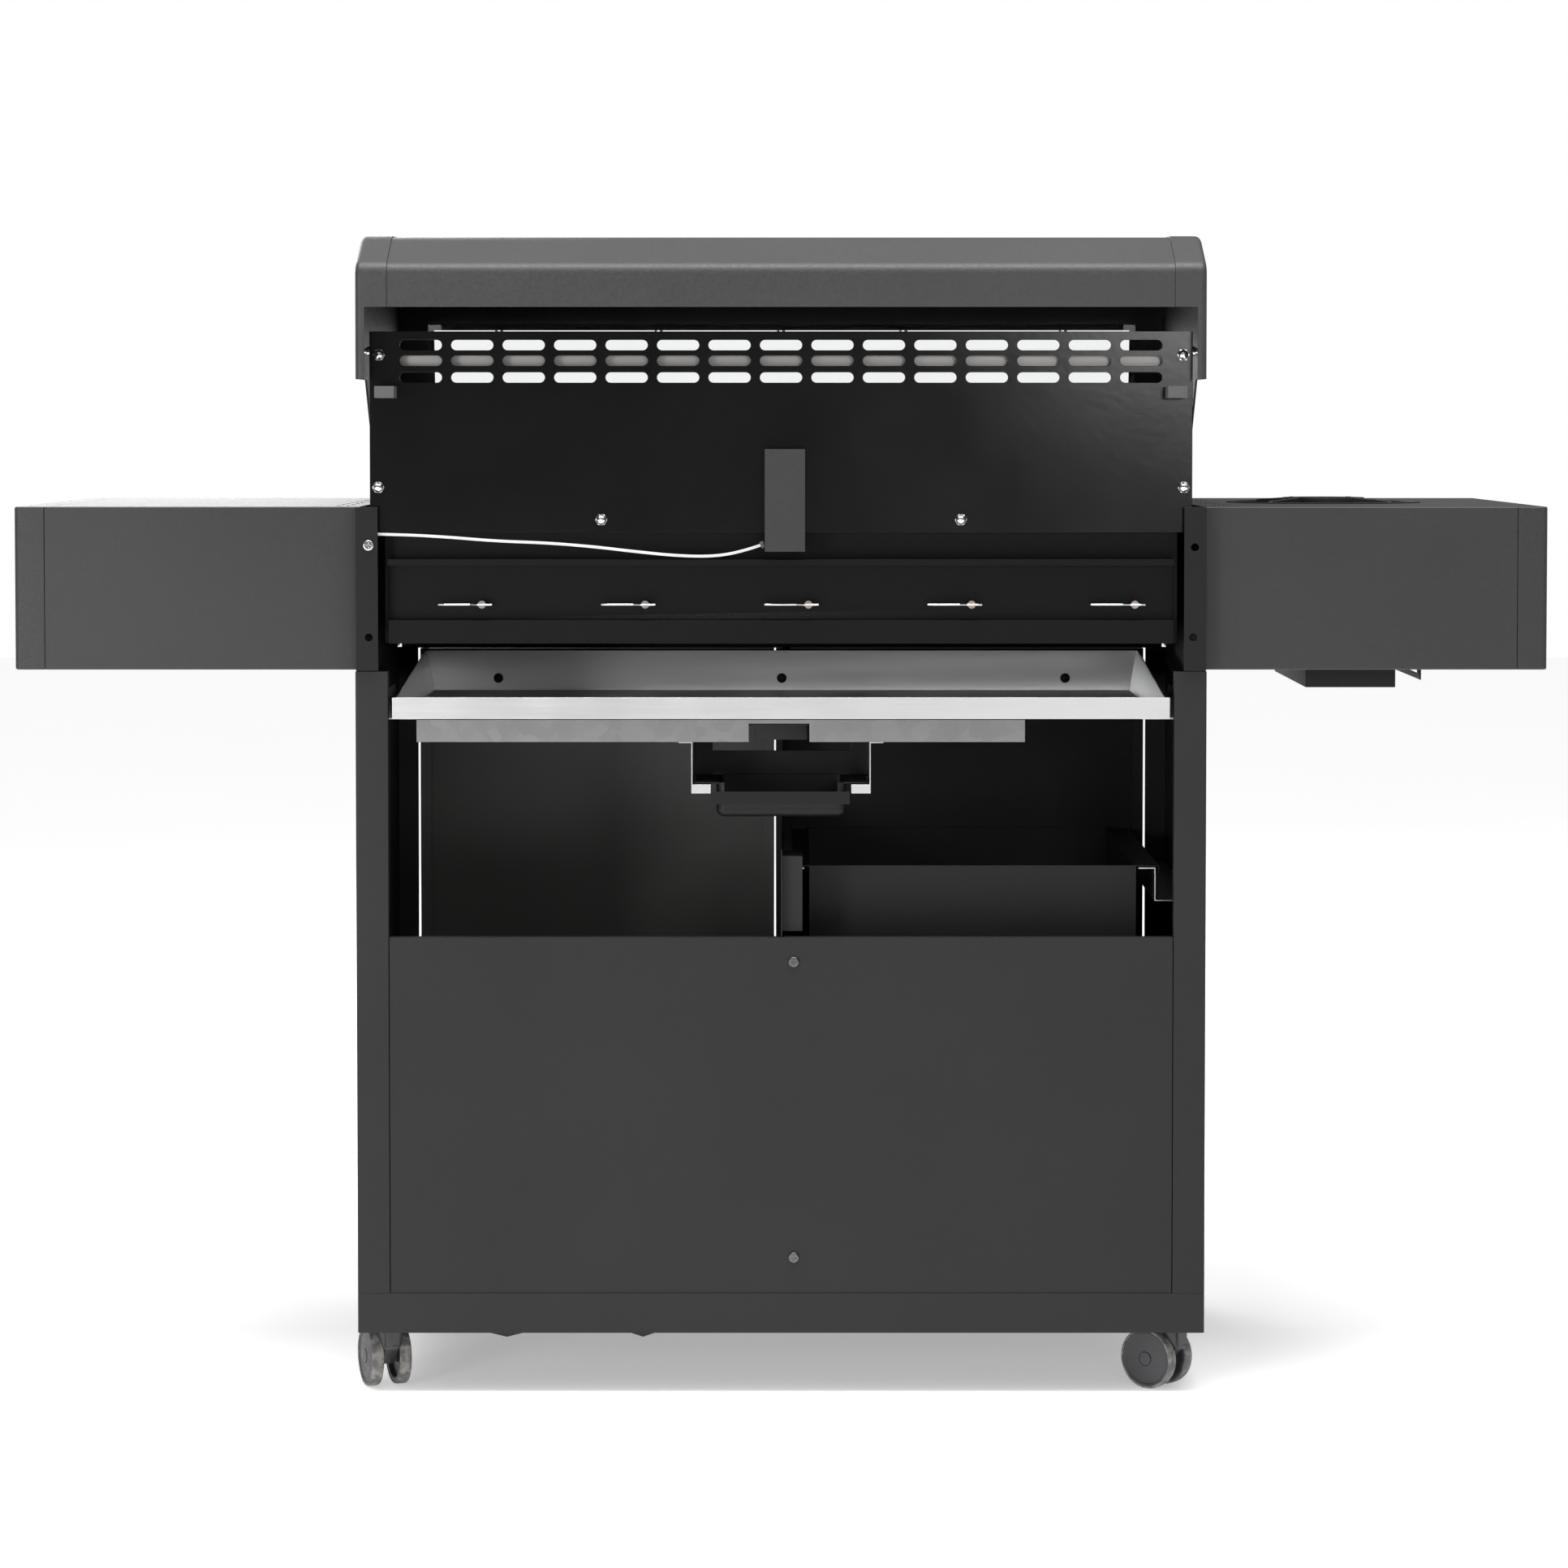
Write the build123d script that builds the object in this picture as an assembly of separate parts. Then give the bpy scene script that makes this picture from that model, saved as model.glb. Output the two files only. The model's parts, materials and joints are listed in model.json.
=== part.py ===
from build123d import *
import math
import os

os.makedirs("parts", exist_ok=True)

# A five-burner gas barbecue on a wheeled cabinet, in millimetres. The cooking side faces -Y, the back +Y.
# The origin is on the floor under the middle of the object. "Left" is -X, as the cook sees it.

# ---------------------------------------------------------------- driving dimensions
SHEET = 1.2                      # folded steel sheet of the cabinet
HEAVY = 1.5                      # enamelled sheet of the firebox and hood
FOLD = 2                         # outer radius of a folded edge
CABINET_WIDTH = 870
CABINET_REAR = 265
CABINET_FRONT = -235
BASE_BOTTOM = 63
BASE_TOP = 104
CABINET_TOP = 744
POST_WIDTH = 33                  # rear flange of a side panel
FRONT_FLANGE = 23.5              # front flange of a side panel
BACK_PANEL_TOP = 471
DOOR_FRONT = -257
DOOR_DEPTH = 20
FRONT_GAP = 2                    # daylight beside the door and the drawer

SHELF_LENGTH = 350
SHELF_END = 31
SHELF_BOTTOM = 745
SHELF_TOP = 912
SHELF_REAR = 250
SHELF_FRONT = -255
BRACKET_FACE = 270               # rear face of the shelf bracket flanges

PANEL_WIDTH = 840                # rear vent panel
PANEL_BOTTOM = 886
PANEL_TOP = 1091
PANEL_REAR = 257
SLOT_COLUMNS = 15
SLOT_PITCH = 52.5
SLOT_SIZE = (43, 10.5)
SLOT_ROWS = (1077, 1061, 1044)

FIREBOX_HALF = 406.5
FIREBOX_FRONT = -180
FIREBOX_REAR = 240
FIREBOX_BOTTOM = 772
FIREBOX_RIM = 920
LEDGE_TOP = 858.5

BURNER_PITCH = 167
BURNER_HEIGHT = 812
BURNER_X = [BURNER_PITCH * k for k in (-2, -1, 0, 1, 2)]
TAIL_SHIFT = -28                 # a burner's tail stud sits to the left of its tube

HINGE_Y = 252
HINGE_Z = 1071
HINGE_PIN = 6.4
HOOD_HALF = 431
CAP_WIDTH = 32
HOOD_BOTTOM = 924
HOOD_LIP = 1115                  # bottom edge of the hood's rear wall

CONTROL_FRONT = -266
CONTROL_BOTTOM = 748
KNOB_DIAMETER = 48
KNOB_LENGTH = 25
KNOB_GAP = 3.5                   # the knob stands off its panel by this, and is pushed in by 3 mm
STEM_DIAMETER = 8
SIDE_BURNER_X = -584

TRAY_TOP = 743
TRAY_RIM = (695, 717)
TRAY_FLOOR = 697
TRAY_LENGTH = 434

WHEEL_DIAMETER = 62
WHEEL_WIDTH = 13
WHEEL_GAP = 17                   # free width between the two wheels of one caster
CASTER_TRAIL = 20
CASTER_X = 405
# name: (x, y, turn of the axle in degrees)
CASTERS = {
    "rear_right": (CASTER_X, 236, 20),
    "rear_left": (-CASTER_X, 236, 51),
    "front_right": (CASTER_X, -206, -14),
    "front_left": (-CASTER_X, -206, 8),
}

HALF = CABINET_WIDTH / 2
INNER = HALF - SHEET             # inner face of a side panel
BRACKET_WEB = 2


# ---------------------------------------------------------------- helpers
def block(x, y, z):
    """A box from its spans along X, Y and Z."""
    size = [abs(span[1] - span[0]) for span in (x, y, z)]
    middle = [(span[0] + span[1]) / 2 for span in (x, y, z)]
    return Pos(*middle) * Box(*size)


def rod_x(x, y, z, diameter):
    """A round bar along X, from its span, height and diameter."""
    return Pos((x[0] + x[1]) / 2, y, z) * Rot(0, 90, 0) * Cylinder(diameter / 2, abs(x[1] - x[0]))


def rod_y(x, y, z, diameter):
    """A round bar along Y."""
    return Pos(x, (y[0] + y[1]) / 2, z) * Rot(90, 0, 0) * Cylinder(diameter / 2, abs(y[1] - y[0]))


def rod_z(x, y, z, diameter):
    """A round bar along Z."""
    return Pos(x, y, (z[0] + z[1]) / 2) * Cylinder(diameter / 2, abs(z[1] - z[0]))


def side_extrusion(points, x, fillets=None):
    """A solid from an outline in the Y-Z plane, extruded over a span of X."""
    face = outline(points, fillets)
    return extrude(Plane.YZ.offset(x[0]) * face, amount=x[1] - x[0])


def outline(points, fillets=None):
    """A closed flat outline, with a radius at each corner that `fillets` names by its number."""
    face = make_face(Polyline(*points, close=True))
    for corner, radius in (fillets or {}).items():
        place = Vector(*points[corner])
        vertex = min(face.vertices(), key=lambda v: (Vector(v.X, v.Y) - place).length)
        face = fillet(vertex, radius)
    return face


def mirrored(piece):
    """The same piece on the other side of the middle plane."""
    return mirror(piece, about=Plane.YZ)


def save(name, *pieces):
    """Writes one named sub-part, which may hold several separate solids."""
    solids = [solid for piece in pieces for solid in piece.solids()]
    shape = solids[0] if len(solids) == 1 else Compound(solids)
    export_step(shape, f"parts/{name}.step")


# ---------------------------------------------------------------- base and cabinet
def base_tray():
    """The folded floor pan, with two pressed ribs under its rear edge."""
    x = (-HALF, HALF)
    y = (DOOR_FRONT, CABINET_REAR)
    pan = block(x, y, (BASE_BOTTOM, BASE_TOP))
    pan = fillet(pan.edges().filter_by(Axis.Z), FOLD)
    pan -= block((x[0] + SHEET, x[1] - SHEET), (y[0] + SHEET, y[1] - SHEET),
                 (BASE_BOTTOM + SHEET, BASE_TOP - SHEET))
    lip = 14
    pan -= block((x[0] + lip, x[1] - lip), (y[0] + lip, y[1] - lip), (BASE_TOP - 2 * SHEET, BASE_TOP + 1))
    for middle, width in ((282, 36), (142, 26)):
        rib = make_face(Polyline((middle - width / 2, BASE_BOTTOM), (middle + width / 2, BASE_BOTTOM),
                                 (middle, BASE_BOTTOM - 4.5), close=True))
        pan += extrude(Plane.XZ.offset(-CABINET_REAR + 2) * rib, amount=70)
    for x_caster, y_caster, _ in CASTERS.values():
        pan -= rod_z(x_caster, y_caster, (BASE_BOTTOM - 1, BASE_BOTTOM + 5), 14)
    return pan


def caster_sockets():
    """Four corner blocks that take the caster stems."""
    sockets = []
    for x, y, _ in CASTERS.values():
        inward = -1 if x > 0 else 1
        side = inward * 26
        socket = block((x - inward * 26, x + side), (y - 20, y + 20), (BASE_BOTTOM + SHEET, BASE_TOP - SHEET))
        sockets.append(socket - rod_z(x, y, (BASE_BOTTOM, BASE_TOP - 6), 11.6))
    return sockets


def side_panel():
    """The right-hand side of the cabinet: a web with a rear post flange and a narrow front flange."""
    z = (BASE_TOP, CABINET_TOP)
    web = block((INNER, HALF), (CABINET_FRONT, CABINET_REAR), z)
    rear = block((HALF - POST_WIDTH, HALF), (CABINET_REAR - SHEET, CABINET_REAR), z)
    rear_return = block((HALF - POST_WIDTH, HALF - POST_WIDTH + SHEET), (CABINET_REAR - 15, CABINET_REAR), z)
    front = block((HALF - FRONT_FLANGE, HALF), (CABINET_FRONT, CABINET_FRONT + SHEET), z)
    panel = web + rear + rear_return + front
    corners = [edge for edge in panel.edges().filter_by(Axis.Z) if edge.center().X > HALF - 0.01]
    return fillet(corners, FOLD)


def back_panel():
    """The lower back panel between the posts, with a folded top edge."""
    half = HALF - POST_WIDTH - 0.6
    rear = CABINET_REAR - SHEET
    sheet = block((-half, half), (rear - SHEET, rear), (BASE_TOP, BACK_PANEL_TOP))
    fold = block((-half, half), (rear - 14, rear), (BACK_PANEL_TOP - SHEET, BACK_PANEL_TOP))
    return sheet + fold - block((-2.4, 1.2), (rear - 20, rear - SHEET), (BACK_PANEL_TOP - 5, BACK_PANEL_TOP + 1))


def cabinet_divider():
    """The wall between the gas-bottle side and the drawer side: low behind, full height at the front."""
    rear = CABINET_REAR - 2 * SHEET
    front = CABINET_FRONT + SHEET
    floor = BASE_BOTTOM + SHEET
    low_top = 560
    post_rear = -192
    web = side_extrusion([(front, floor), (rear, floor), (rear, low_top), (post_rear + 60, low_top),
                          (post_rear, 640), (post_rear, CABINET_TOP), (front, CABINET_TOP)], (-SHEET, 0))
    web -= block((-2, 1), (DOOR_FRONT, DOOR_FRONT + 40), (BASE_BOTTOM, BASE_TOP))
    web -= block((-2, 1), (CABINET_REAR - 18, CABINET_REAR), (BASE_TOP - 2 * SHEET, BASE_TOP))
    rear_flange = block((-26, 0), (rear - SHEET, rear), (BASE_TOP, low_top - 100))
    front_flange = block((-10, 0), (front, front + SHEET), (BASE_TOP, CABINET_TOP))
    slide_block = block((-22, -SHEET), (190, 250), (476, 553))
    slide_block -= block((-20.8, -SHEET - 1), (191.2, 248.8), (470, 551.8))
    return web + rear_flange + front_flange, slide_block


# ---------------------------------------------------------------- firebox, burners and vent panel
def firebox():
    """The enamelled box that holds the fire: open above and below, with tall ears at the rear."""
    half = FIREBOX_HALF
    outer = side_extrusion([(FIREBOX_FRONT, FIREBOX_BOTTOM), (FIREBOX_REAR, FIREBOX_BOTTOM),
                            (FIREBOX_REAR, 1040), (196, 1040), (76, FIREBOX_RIM),
                            (FIREBOX_FRONT, FIREBOX_RIM)], (-half, half))
    hollow = block((-half + HEAVY, half - HEAVY), (FIREBOX_FRONT + HEAVY, FIREBOX_REAR - HEAVY),
                   (FIREBOX_BOTTOM - 1, 1100))
    box = outer - hollow
    box -= block((-half + HEAVY, half - HEAVY), (200, FIREBOX_REAR + 1), (FIREBOX_RIM - 22, 1100))
    for side in (-1, 1):
        box += block((side * half, side * (INNER - BRACKET_WEB)), (FIREBOX_FRONT, 76),
                     (FIREBOX_RIM - HEAVY, FIREBOX_RIM))
    for y in ((FIREBOX_FRONT, FIREBOX_FRONT + 30), (FIREBOX_REAR - 30, FIREBOX_REAR)):
        box += block((-half, half), y, (FIREBOX_BOTTOM, FIREBOX_BOTTOM + HEAVY))
    rest = 10
    for y in ((FIREBOX_FRONT + HEAVY, FIREBOX_FRONT + HEAVY + rest),
              (FIREBOX_REAR - HEAVY - rest, FIREBOX_REAR - HEAVY)):
        box += block((-half + HEAVY, half - HEAVY), y, (884, 884 + HEAVY))
    for x in BURNER_X:
        box -= rod_y(x, (FIREBOX_FRONT - 1, FIREBOX_FRONT + 3), BURNER_HEIGHT, 27)
        box -= rod_y(x + TAIL_SHIFT, (FIREBOX_REAR - 3, FIREBOX_REAR + 1), BURNER_HEIGHT, 8.6)
    return box


def burner_rail():
    """The stiffener across the firebox's back, whose wall the burner tails come through."""
    wall = FIREBOX_REAR + HEAVY
    profile = [
        ((FIREBOX_REAR, 262), (LEDGE_TOP - HEAVY, LEDGE_TOP)),
        ((262 - HEAVY, 262), (852, LEDGE_TOP)),
        ((FIREBOX_REAR, wall), (794.5, LEDGE_TOP)),
        ((FIREBOX_REAR, 253), (794.5, 794.5 + HEAVY)),
        ((253 - HEAVY, 253), (FIREBOX_BOTTOM, 796)),
    ]
    rail = None
    for y, z in profile:
        strip = block((-402, 402), y, z)
        rail = strip if rail is None else rail + strip
    for x in BURNER_X:
        rail -= rod_y(x + TAIL_SHIFT, (FIREBOX_REAR - 1, wall + 1), BURNER_HEIGHT, 8.6)
    return rail


def main_burners():
    """Five steel burner tubes with open venturi mouths in front and a drilled tail behind."""
    burners = []
    for x in BURNER_X:
        tube = rod_y(x, (-172, 230), BURNER_HEIGHT, 32) + rod_y(x, (-198, -172), BURNER_HEIGHT, 26)
        tube -= rod_y(x, (-170, 228), BURNER_HEIGHT, 29.6)
        tube -= rod_y(x, (-199, -169), BURNER_HEIGHT, 22)
        tube += block((x + TAIL_SHIFT - 5, x), (226, 229), (BURNER_HEIGHT - 5, BURNER_HEIGHT + 5))
        tube += rod_y(x + TAIL_SHIFT, (228, 257), BURNER_HEIGHT, 8)
        tube -= rod_x((x + TAIL_SHIFT - 6, x + TAIL_SHIFT + 6), 249, BURNER_HEIGHT, 2.8)
        burners.append(tube)
    return burners


def hairpin_clips():
    """The wire cotters that lock the burner tails: a straight leg through the tail and a bowed leg round it."""
    wire = 2.4
    clips = []
    for x in BURNER_X:
        tail = x + TAIL_SHIFT
        start = Vector(tail - 7, 249, BURNER_HEIGHT)
        path = FilletPolyline(start, (tail + 43, 249, BURNER_HEIGHT), (tail + 46, 253, BURNER_HEIGHT),
                              (tail + 38, 256, BURNER_HEIGHT), (tail + 12, 254, BURNER_HEIGHT),
                              (tail + 4, 260, BURNER_HEIGHT), (tail - 5, 260, BURNER_HEIGHT),
                              (tail - 10, 258, BURNER_HEIGHT), radius=1.6)
        clips.append(sweep(Plane(start, z_dir=(1, 0, 0)) * Circle(wire / 2), path=path))
    return clips


def flame_tamers():
    """Five tent-shaped steel sheets over the burners."""
    tamers = []
    for x in BURNER_X:
        roof = make_face(Polyline((x - 52, 838), (x, 868), (x + 52, 838), (x + 52, 836.6), (x, 866.6),
                                  (x - 52, 836.6), close=True))
        y = FIREBOX_REAR - HEAVY
        tamers.append(extrude(Plane.XZ.offset(-y) * roof, amount=y - (FIREBOX_FRONT + HEAVY)))
    return tamers


def cooking_grates():
    """Two cast grates that lie side by side on the firebox's inner ledges."""
    width = 400
    length = 410
    middle_y = (FIREBOX_FRONT + FIREBOX_REAR) / 2
    plan = Rectangle(width, length)
    bars = 22
    pitch = (width - 20) / bars
    slots = [Pos(-width / 2 + 10 + pitch * (k + 0.5), row * (length / 4 - 2)) *
             Rectangle(pitch - 6, length / 2 - 16) for k in range(bars) for row in (-1, 1)]
    grate = extrude(plan - slots, amount=11)
    bottom = 884 + HEAVY
    return [Pos(side * (width / 2 + 1), middle_y, bottom) * grate for side in (-1, 1)]


def warming_rack():
    """The raised wire rack at the back of the firebox, on four hooked legs."""
    y = (130, 226)
    z = (986, 990)
    half = 396
    pitch = 24
    plan = Pos(0, (y[0] + y[1]) / 2) * Rectangle(2 * half, y[1] - y[0])
    count = int((2 * half - 8) / pitch)
    slots = [Pos((k - (count - 1) / 2) * pitch, (y[0] + y[1]) / 2) * Rectangle(pitch - 4, y[1] - y[0] - 8)
             for k in range(count)]
    rack = Pos(0, 0, z[0]) * extrude(plan - slots, amount=z[1] - z[0])
    for side in (-1, 1):
        rack += block((side * half, side * (FIREBOX_HALF - HEAVY)), (198, 208), z)
        rack += block((side * (half - 4), side * half), (130, 134), (FIREBOX_RIM - 23.5, z[0]))
    return rack


def rear_vent_panel():
    """The glossy rear panel: a shallow pan with three rows of stadium slots."""
    height = PANEL_TOP - PANEL_BOTTOM
    middle = (PANEL_TOP + PANEL_BOTTOM) / 2
    sketch = Rectangle(PANEL_WIDTH, height)
    columns = [(k - (SLOT_COLUMNS - 1) / 2) * SLOT_PITCH for k in range(SLOT_COLUMNS)]
    sketch -= [Pos(x, z - middle) * SlotOverall(*SLOT_SIZE) for x in columns for z in SLOT_ROWS]
    face = Pos(0, PANEL_REAR, middle) * Rot(90, 0, 0) * extrude(sketch, amount=HEAVY)
    half = PANEL_WIDTH / 2
    y = (FIREBOX_REAR, PANEL_REAR)
    panel = face + block((-half, half), y, (PANEL_TOP - HEAVY, PANEL_TOP))
    panel += block((-half, half), y, (PANEL_BOTTOM, PANEL_BOTTOM + HEAVY))
    for side in (-1, 1):
        flange = block((side * half, side * (half - HEAVY)), y, (PANEL_BOTTOM, PANEL_TOP))
        panel += flange - rod_x((side * (half - 5), side * (half + 1)), HINGE_Y, HINGE_Z, HINGE_PIN)
    return panel


def vent_strip():
    """The plain steel strip inside the panel, level with its middle row of slots."""
    half = PANEL_WIDTH / 2 - HEAVY
    return block((-half, half), (242, 243.2), (1051, 1070.5))


def ignition_cover():
    """A narrow box on the rear panel that hides the igniter."""
    cover = block((-24.5, 16.5), (PANEL_REAR, 285), (867, 971))
    cover -= block((-24.5 + SHEET, 16.5 - SHEET), (PANEL_REAR - 1, 285 - SHEET), (867 + SHEET, 971 - SHEET))
    return cover


# The white high-voltage lead: from the grommet in the right bracket to the one in the igniter's cover.
LEAD_DIAMETER = 3
LEAD_ROUTE = [
    (427.6, 262.0, 884.5), (386.0, 262.6, 883.8), (341.0, 263.2, 881.4), (291.0, 262.4, 877.2),
    (240.0, 261.6, 875.4), (192.0, 262.4, 871.6), (148.0, 263.4, 866.4), (106.0, 262.8, 862.2),
    (70.0, 262.0, 861.4), (41.5, 262.4, 866.0), (21.0, 262.6, 873.0),
]


def ignition_lead():
    """The lead as straight runs joined by arcs that are as large as the runs allow."""
    points = [Vector(*point) for point in LEAD_ROUTE]
    radii = []
    for before, here, after in zip(points, points[1:], points[2:]):
        turn = (here - before).get_angle(after - here)
        shorter = min((here - before).length, (after - here).length)
        radii.append(0.45 * shorter / math.tan(math.radians(turn / 2)))
    path = FilletPolyline(*points, radius=radii)
    start = Plane(points[0], z_dir=points[1] - points[0])
    lead = sweep(start * Circle(LEAD_DIAMETER / 2), path=path)
    ideal = math.pi * (LEAD_DIAMETER / 2) ** 2 * path.length
    print("lead radii", [round(radius) for radius in radii])
    print("lead length", round(path.length, 1), "volume", round(lead.volume), "ideal", round(ideal))
    return lead


def lead_grommets():
    """Two rubber plugs that grip the ends of the lead."""
    plugs = []
    for end, beyond, length in ((0, 1, 4), (-1, -2, 4)):
        tip = Vector(*LEAD_ROUTE[end])
        inward = tip - Vector(*LEAD_ROUTE[beyond])
        plane = Plane(tip, z_dir=inward)
        plugs.append(plane * Pos(0, 0, length / 2) * Cylinder(3.6, length))
    return plugs


def hood_bumpers():
    """The two rubber stops that the open hood comes to rest on."""
    return [block((side * 392, side * 412), (PANEL_REAR, 293), (1023, 1035)) for side in (-1, 1)]


def fasteners():
    """Dome nuts on the rear panel and cross-head screws on the panels."""
    nut = extrude(RegularPolygon(6.2, 6), amount=5) + Pos(0, 0, 5) * Sphere(5.2)
    nut -= Pos(0, 0, -10) * Box(30, 30, 20)
    screw = Cylinder(5.5, 2.6, align=(Align.CENTER, Align.CENTER, Align.MIN))
    screw = fillet(screw.edges().group_by(Axis.Z)[-1], 1.4)
    cross = Pos(0, 0, 2.6) * (Box(6, 1.2, 2) + Box(1.2, 6, 2))
    screw -= cross
    small = scale(screw, 0.75)
    outward = Rot(-90, 0, 0)
    pieces = [Pos(side * x, PANEL_REAR, z) * outward * nut
              for x, z in ((410, 1067), (411, 932), (183.5, 899)) for side in (-1, 1)]
    pieces += [Pos(x, 248, PANEL_TOP) * small for x in (-288, -125, 0, 125, 288)]
    pieces += [Pos(-13, CABINET_REAR - SHEET, z) * outward * screw for z in (141, 446)]
    pieces += [Pos(420.5, BRACKET_FACE, 873) * outward * screw]
    return pieces


# ---------------------------------------------------------------- side shelves
def shelf(side):
    """One side shelf: a folded top with deep skirts and a separate end cap. side is -1 or 1."""
    inner = INNER
    seam = HALF + SHELF_LENGTH - SHELF_END
    end = HALF + SHELF_LENGTH
    y = (SHELF_FRONT, SHELF_REAR)
    z = (SHELF_BOTTOM, SHELF_TOP)
    body = block((inner, seam), y, z)
    body = fillet(body.edges().filter_by(Axis.X), FOLD)
    body -= block((inner + SHEET, seam + 1), (y[0] + SHEET, y[1] - SHEET), (z[0] + SHEET, z[1] - SHEET))
    body -= block((inner + 16, seam + 1), (y[0] + 16, y[1] - 16), (z[0] - 1, z[0] + 3))
    cap = block((seam, end), y, z)
    cap = fillet(cap.edges().filter_by(Axis.Z).group_by(Axis.X)[-1], 5)
    cap = fillet(cap.edges().filter_by(Axis.X), FOLD)
    groove = block((seam - 1, seam + 0.7), (y[0] - 1, y[1] + 1), (z[0] - 1, z[1] + 1))
    cap -= groove - block((seam - 2, seam + 2), (y[0] + 0.8, y[1] - 0.8), (z[0] + 0.8, z[1] - 0.8))
    hollow = block((seam - 1, end - SHEET), (y[0] + SHEET, y[1] - SHEET), (z[0] + SHEET, z[1] - SHEET))
    cap -= fillet(hollow.edges().filter_by(Axis.Z).group_by(Axis.X)[-1], 5 - SHEET)
    for row in (449, 459):
        for k in range(8):
            body -= block((row - 1.4, row + 1.4), (-192 + 52 * k, -160 + 52 * k), (z[1] - 3, z[1] + 1))
    if side < 0:
        body, cap = mirrored(body), mirrored(cap)
        body -= rod_z(SIDE_BURNER_X, 0, (z[1] - 3, z[1] + 1), 196)
        body -= rod_y(SIDE_BURNER_X, (y[0] - 1, y[0] + 3), BURNER_HEIGHT, 10)
        body -= rod_x((-inner - 1, -inner - 3), -222, BURNER_HEIGHT, 12)
        body -= rod_x((-inner + 1, -inner - 3), -222, BURNER_HEIGHT, 12)
    return body, cap


def shelf_brackets():
    """The angle brackets that carry the shelves, their cross braces and the rail under the left shelf."""
    web = block((INNER - BRACKET_WEB, INNER), (-200, BRACKET_FACE), (706, SHELF_TOP))
    web -= block((INNER - BRACKET_WEB - 1, INNER + 1), (CABINET_REAR - 16, 300), (700, SHELF_BOTTOM))
    flange = block((411, INNER), (BRACKET_FACE - 2, BRACKET_FACE), (SHELF_BOTTOM, SHELF_TOP))
    hole = rod_y(420.5, (260, 280), 779, 8)
    bracket = web + flange - hole
    left = mirrored(bracket) - rod_y(-422, (260, 280), 871, 8)
    left -= rod_x((-INNER - 1, -INNER + BRACKET_WEB + 1), -222, BURNER_HEIGHT, 12)
    pieces = [bracket, left]
    y = (SHELF_FRONT + SHEET, SHELF_REAR - SHEET)
    z = (SHELF_BOTTOM + SHEET, SHELF_BOTTOM + 2 * SHEET)
    for x in ((600, 640), (-690, -655), (-540, -500)):
        pieces.append(block(x, y, z))
    rail = block((-674.5, -673), (-118, 118), (727, SHELF_BOTTOM + SHEET))
    rail += block((-674.5, -660), (-118, 118), (SHELF_BOTTOM, SHELF_BOTTOM + SHEET))
    rail -= block((-680, -670), (-96, 96), (733, 736))
    pieces.append(rail)
    return pieces


def side_burner_box():
    """The deep narrow box under the side burner."""
    x = (SIDE_BURNER_X - 59, SIDE_BURNER_X + 35)
    y = (-150, 150)
    z = (721, 897)
    box = block(x, y, z)
    box -= block((x[0] + SHEET, x[1] - SHEET), (y[0] + SHEET, y[1] - SHEET), (z[0] + SHEET, z[1] + 1))
    box -= rod_y(SIDE_BURNER_X, (y[0] - 1, y[0] + 3), BURNER_HEIGHT, 24)
    return box


def side_burner():
    """The side burner: a dished pan in the shelf, the burner with its cap, and a low trivet."""
    bowl = Pos(SIDE_BURNER_X, 0, 897) * Cylinder(97.5, 16, align=(Align.CENTER, Align.CENTER, Align.MIN))
    bowl += Pos(SIDE_BURNER_X, 0, SHELF_TOP) * Cylinder(104, 1.2, align=(Align.CENTER, Align.CENTER, Align.MIN))
    bowl -= rod_z(SIDE_BURNER_X, 0, (898.2, 930), 192)
    bowl -= rod_z(SIDE_BURNER_X, 0, (890, 900), 50)
    burner = rod_z(SIDE_BURNER_X, 0, (795, 906), 28) + rod_z(SIDE_BURNER_X, 0, (900, 909), 66)
    burner += rod_y(SIDE_BURNER_X, (-188, 0), BURNER_HEIGHT, 20)
    burner -= rod_y(SIDE_BURNER_X, (-189, -8), BURNER_HEIGHT, 16)
    burner += rod_z(SIDE_BURNER_X, 0, (909, 914), 76)
    trivet = None
    for turn in (45, 135, 225, 315):
        arm = make_face(Polyline((40, 911), (95, 898.2), (95, 912), (88, 914.5), (40, 917.5), close=True))
        arm = Rot(0, 0, turn) * extrude(Plane.XZ.offset(-2.5) * arm, amount=5)
        trivet = arm if trivet is None else trivet + arm
    trivet = Pos(SIDE_BURNER_X, 0, 0) * trivet
    ring = rod_z(SIDE_BURNER_X, 0, (912.5, 917.5), 88) - rod_z(SIDE_BURNER_X, 0, (900, 930), 78)
    return bowl, burner, trivet + ring


# ---------------------------------------------------------------- controls
def control_panel():
    """The folded front panel between the shelves, with a hole for each valve stem."""
    half = INNER - BRACKET_WEB
    y = (CONTROL_FRONT, -200)
    z = (CONTROL_BOTTOM, SHELF_TOP)
    panel = block((-half, half), (CONTROL_FRONT, CONTROL_FRONT + SHEET), z)
    panel += block((-half, half), y, (z[1] - SHEET, z[1]))
    panel += block((-half, half), (CONTROL_FRONT, -236), (z[0], z[0] + SHEET))
    front_edges = panel.edges().filter_by(Axis.X).group_by(Axis.Y)[0]
    panel = fillet(front_edges, FOLD)
    for x in BURNER_X:
        panel -= rod_y(x, (CONTROL_FRONT - 1, CONTROL_FRONT + 3), BURNER_HEIGHT, 10)
    return panel


def knob_places():
    """The six knobs: name, x, and the y of the panel face that each one stands in front of."""
    places = [(f"main_{k + 1}", x, CONTROL_FRONT) for k, x in enumerate(BURNER_X)]
    places.append(("side", SIDE_BURNER_X, SHELF_FRONT))
    return places


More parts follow.
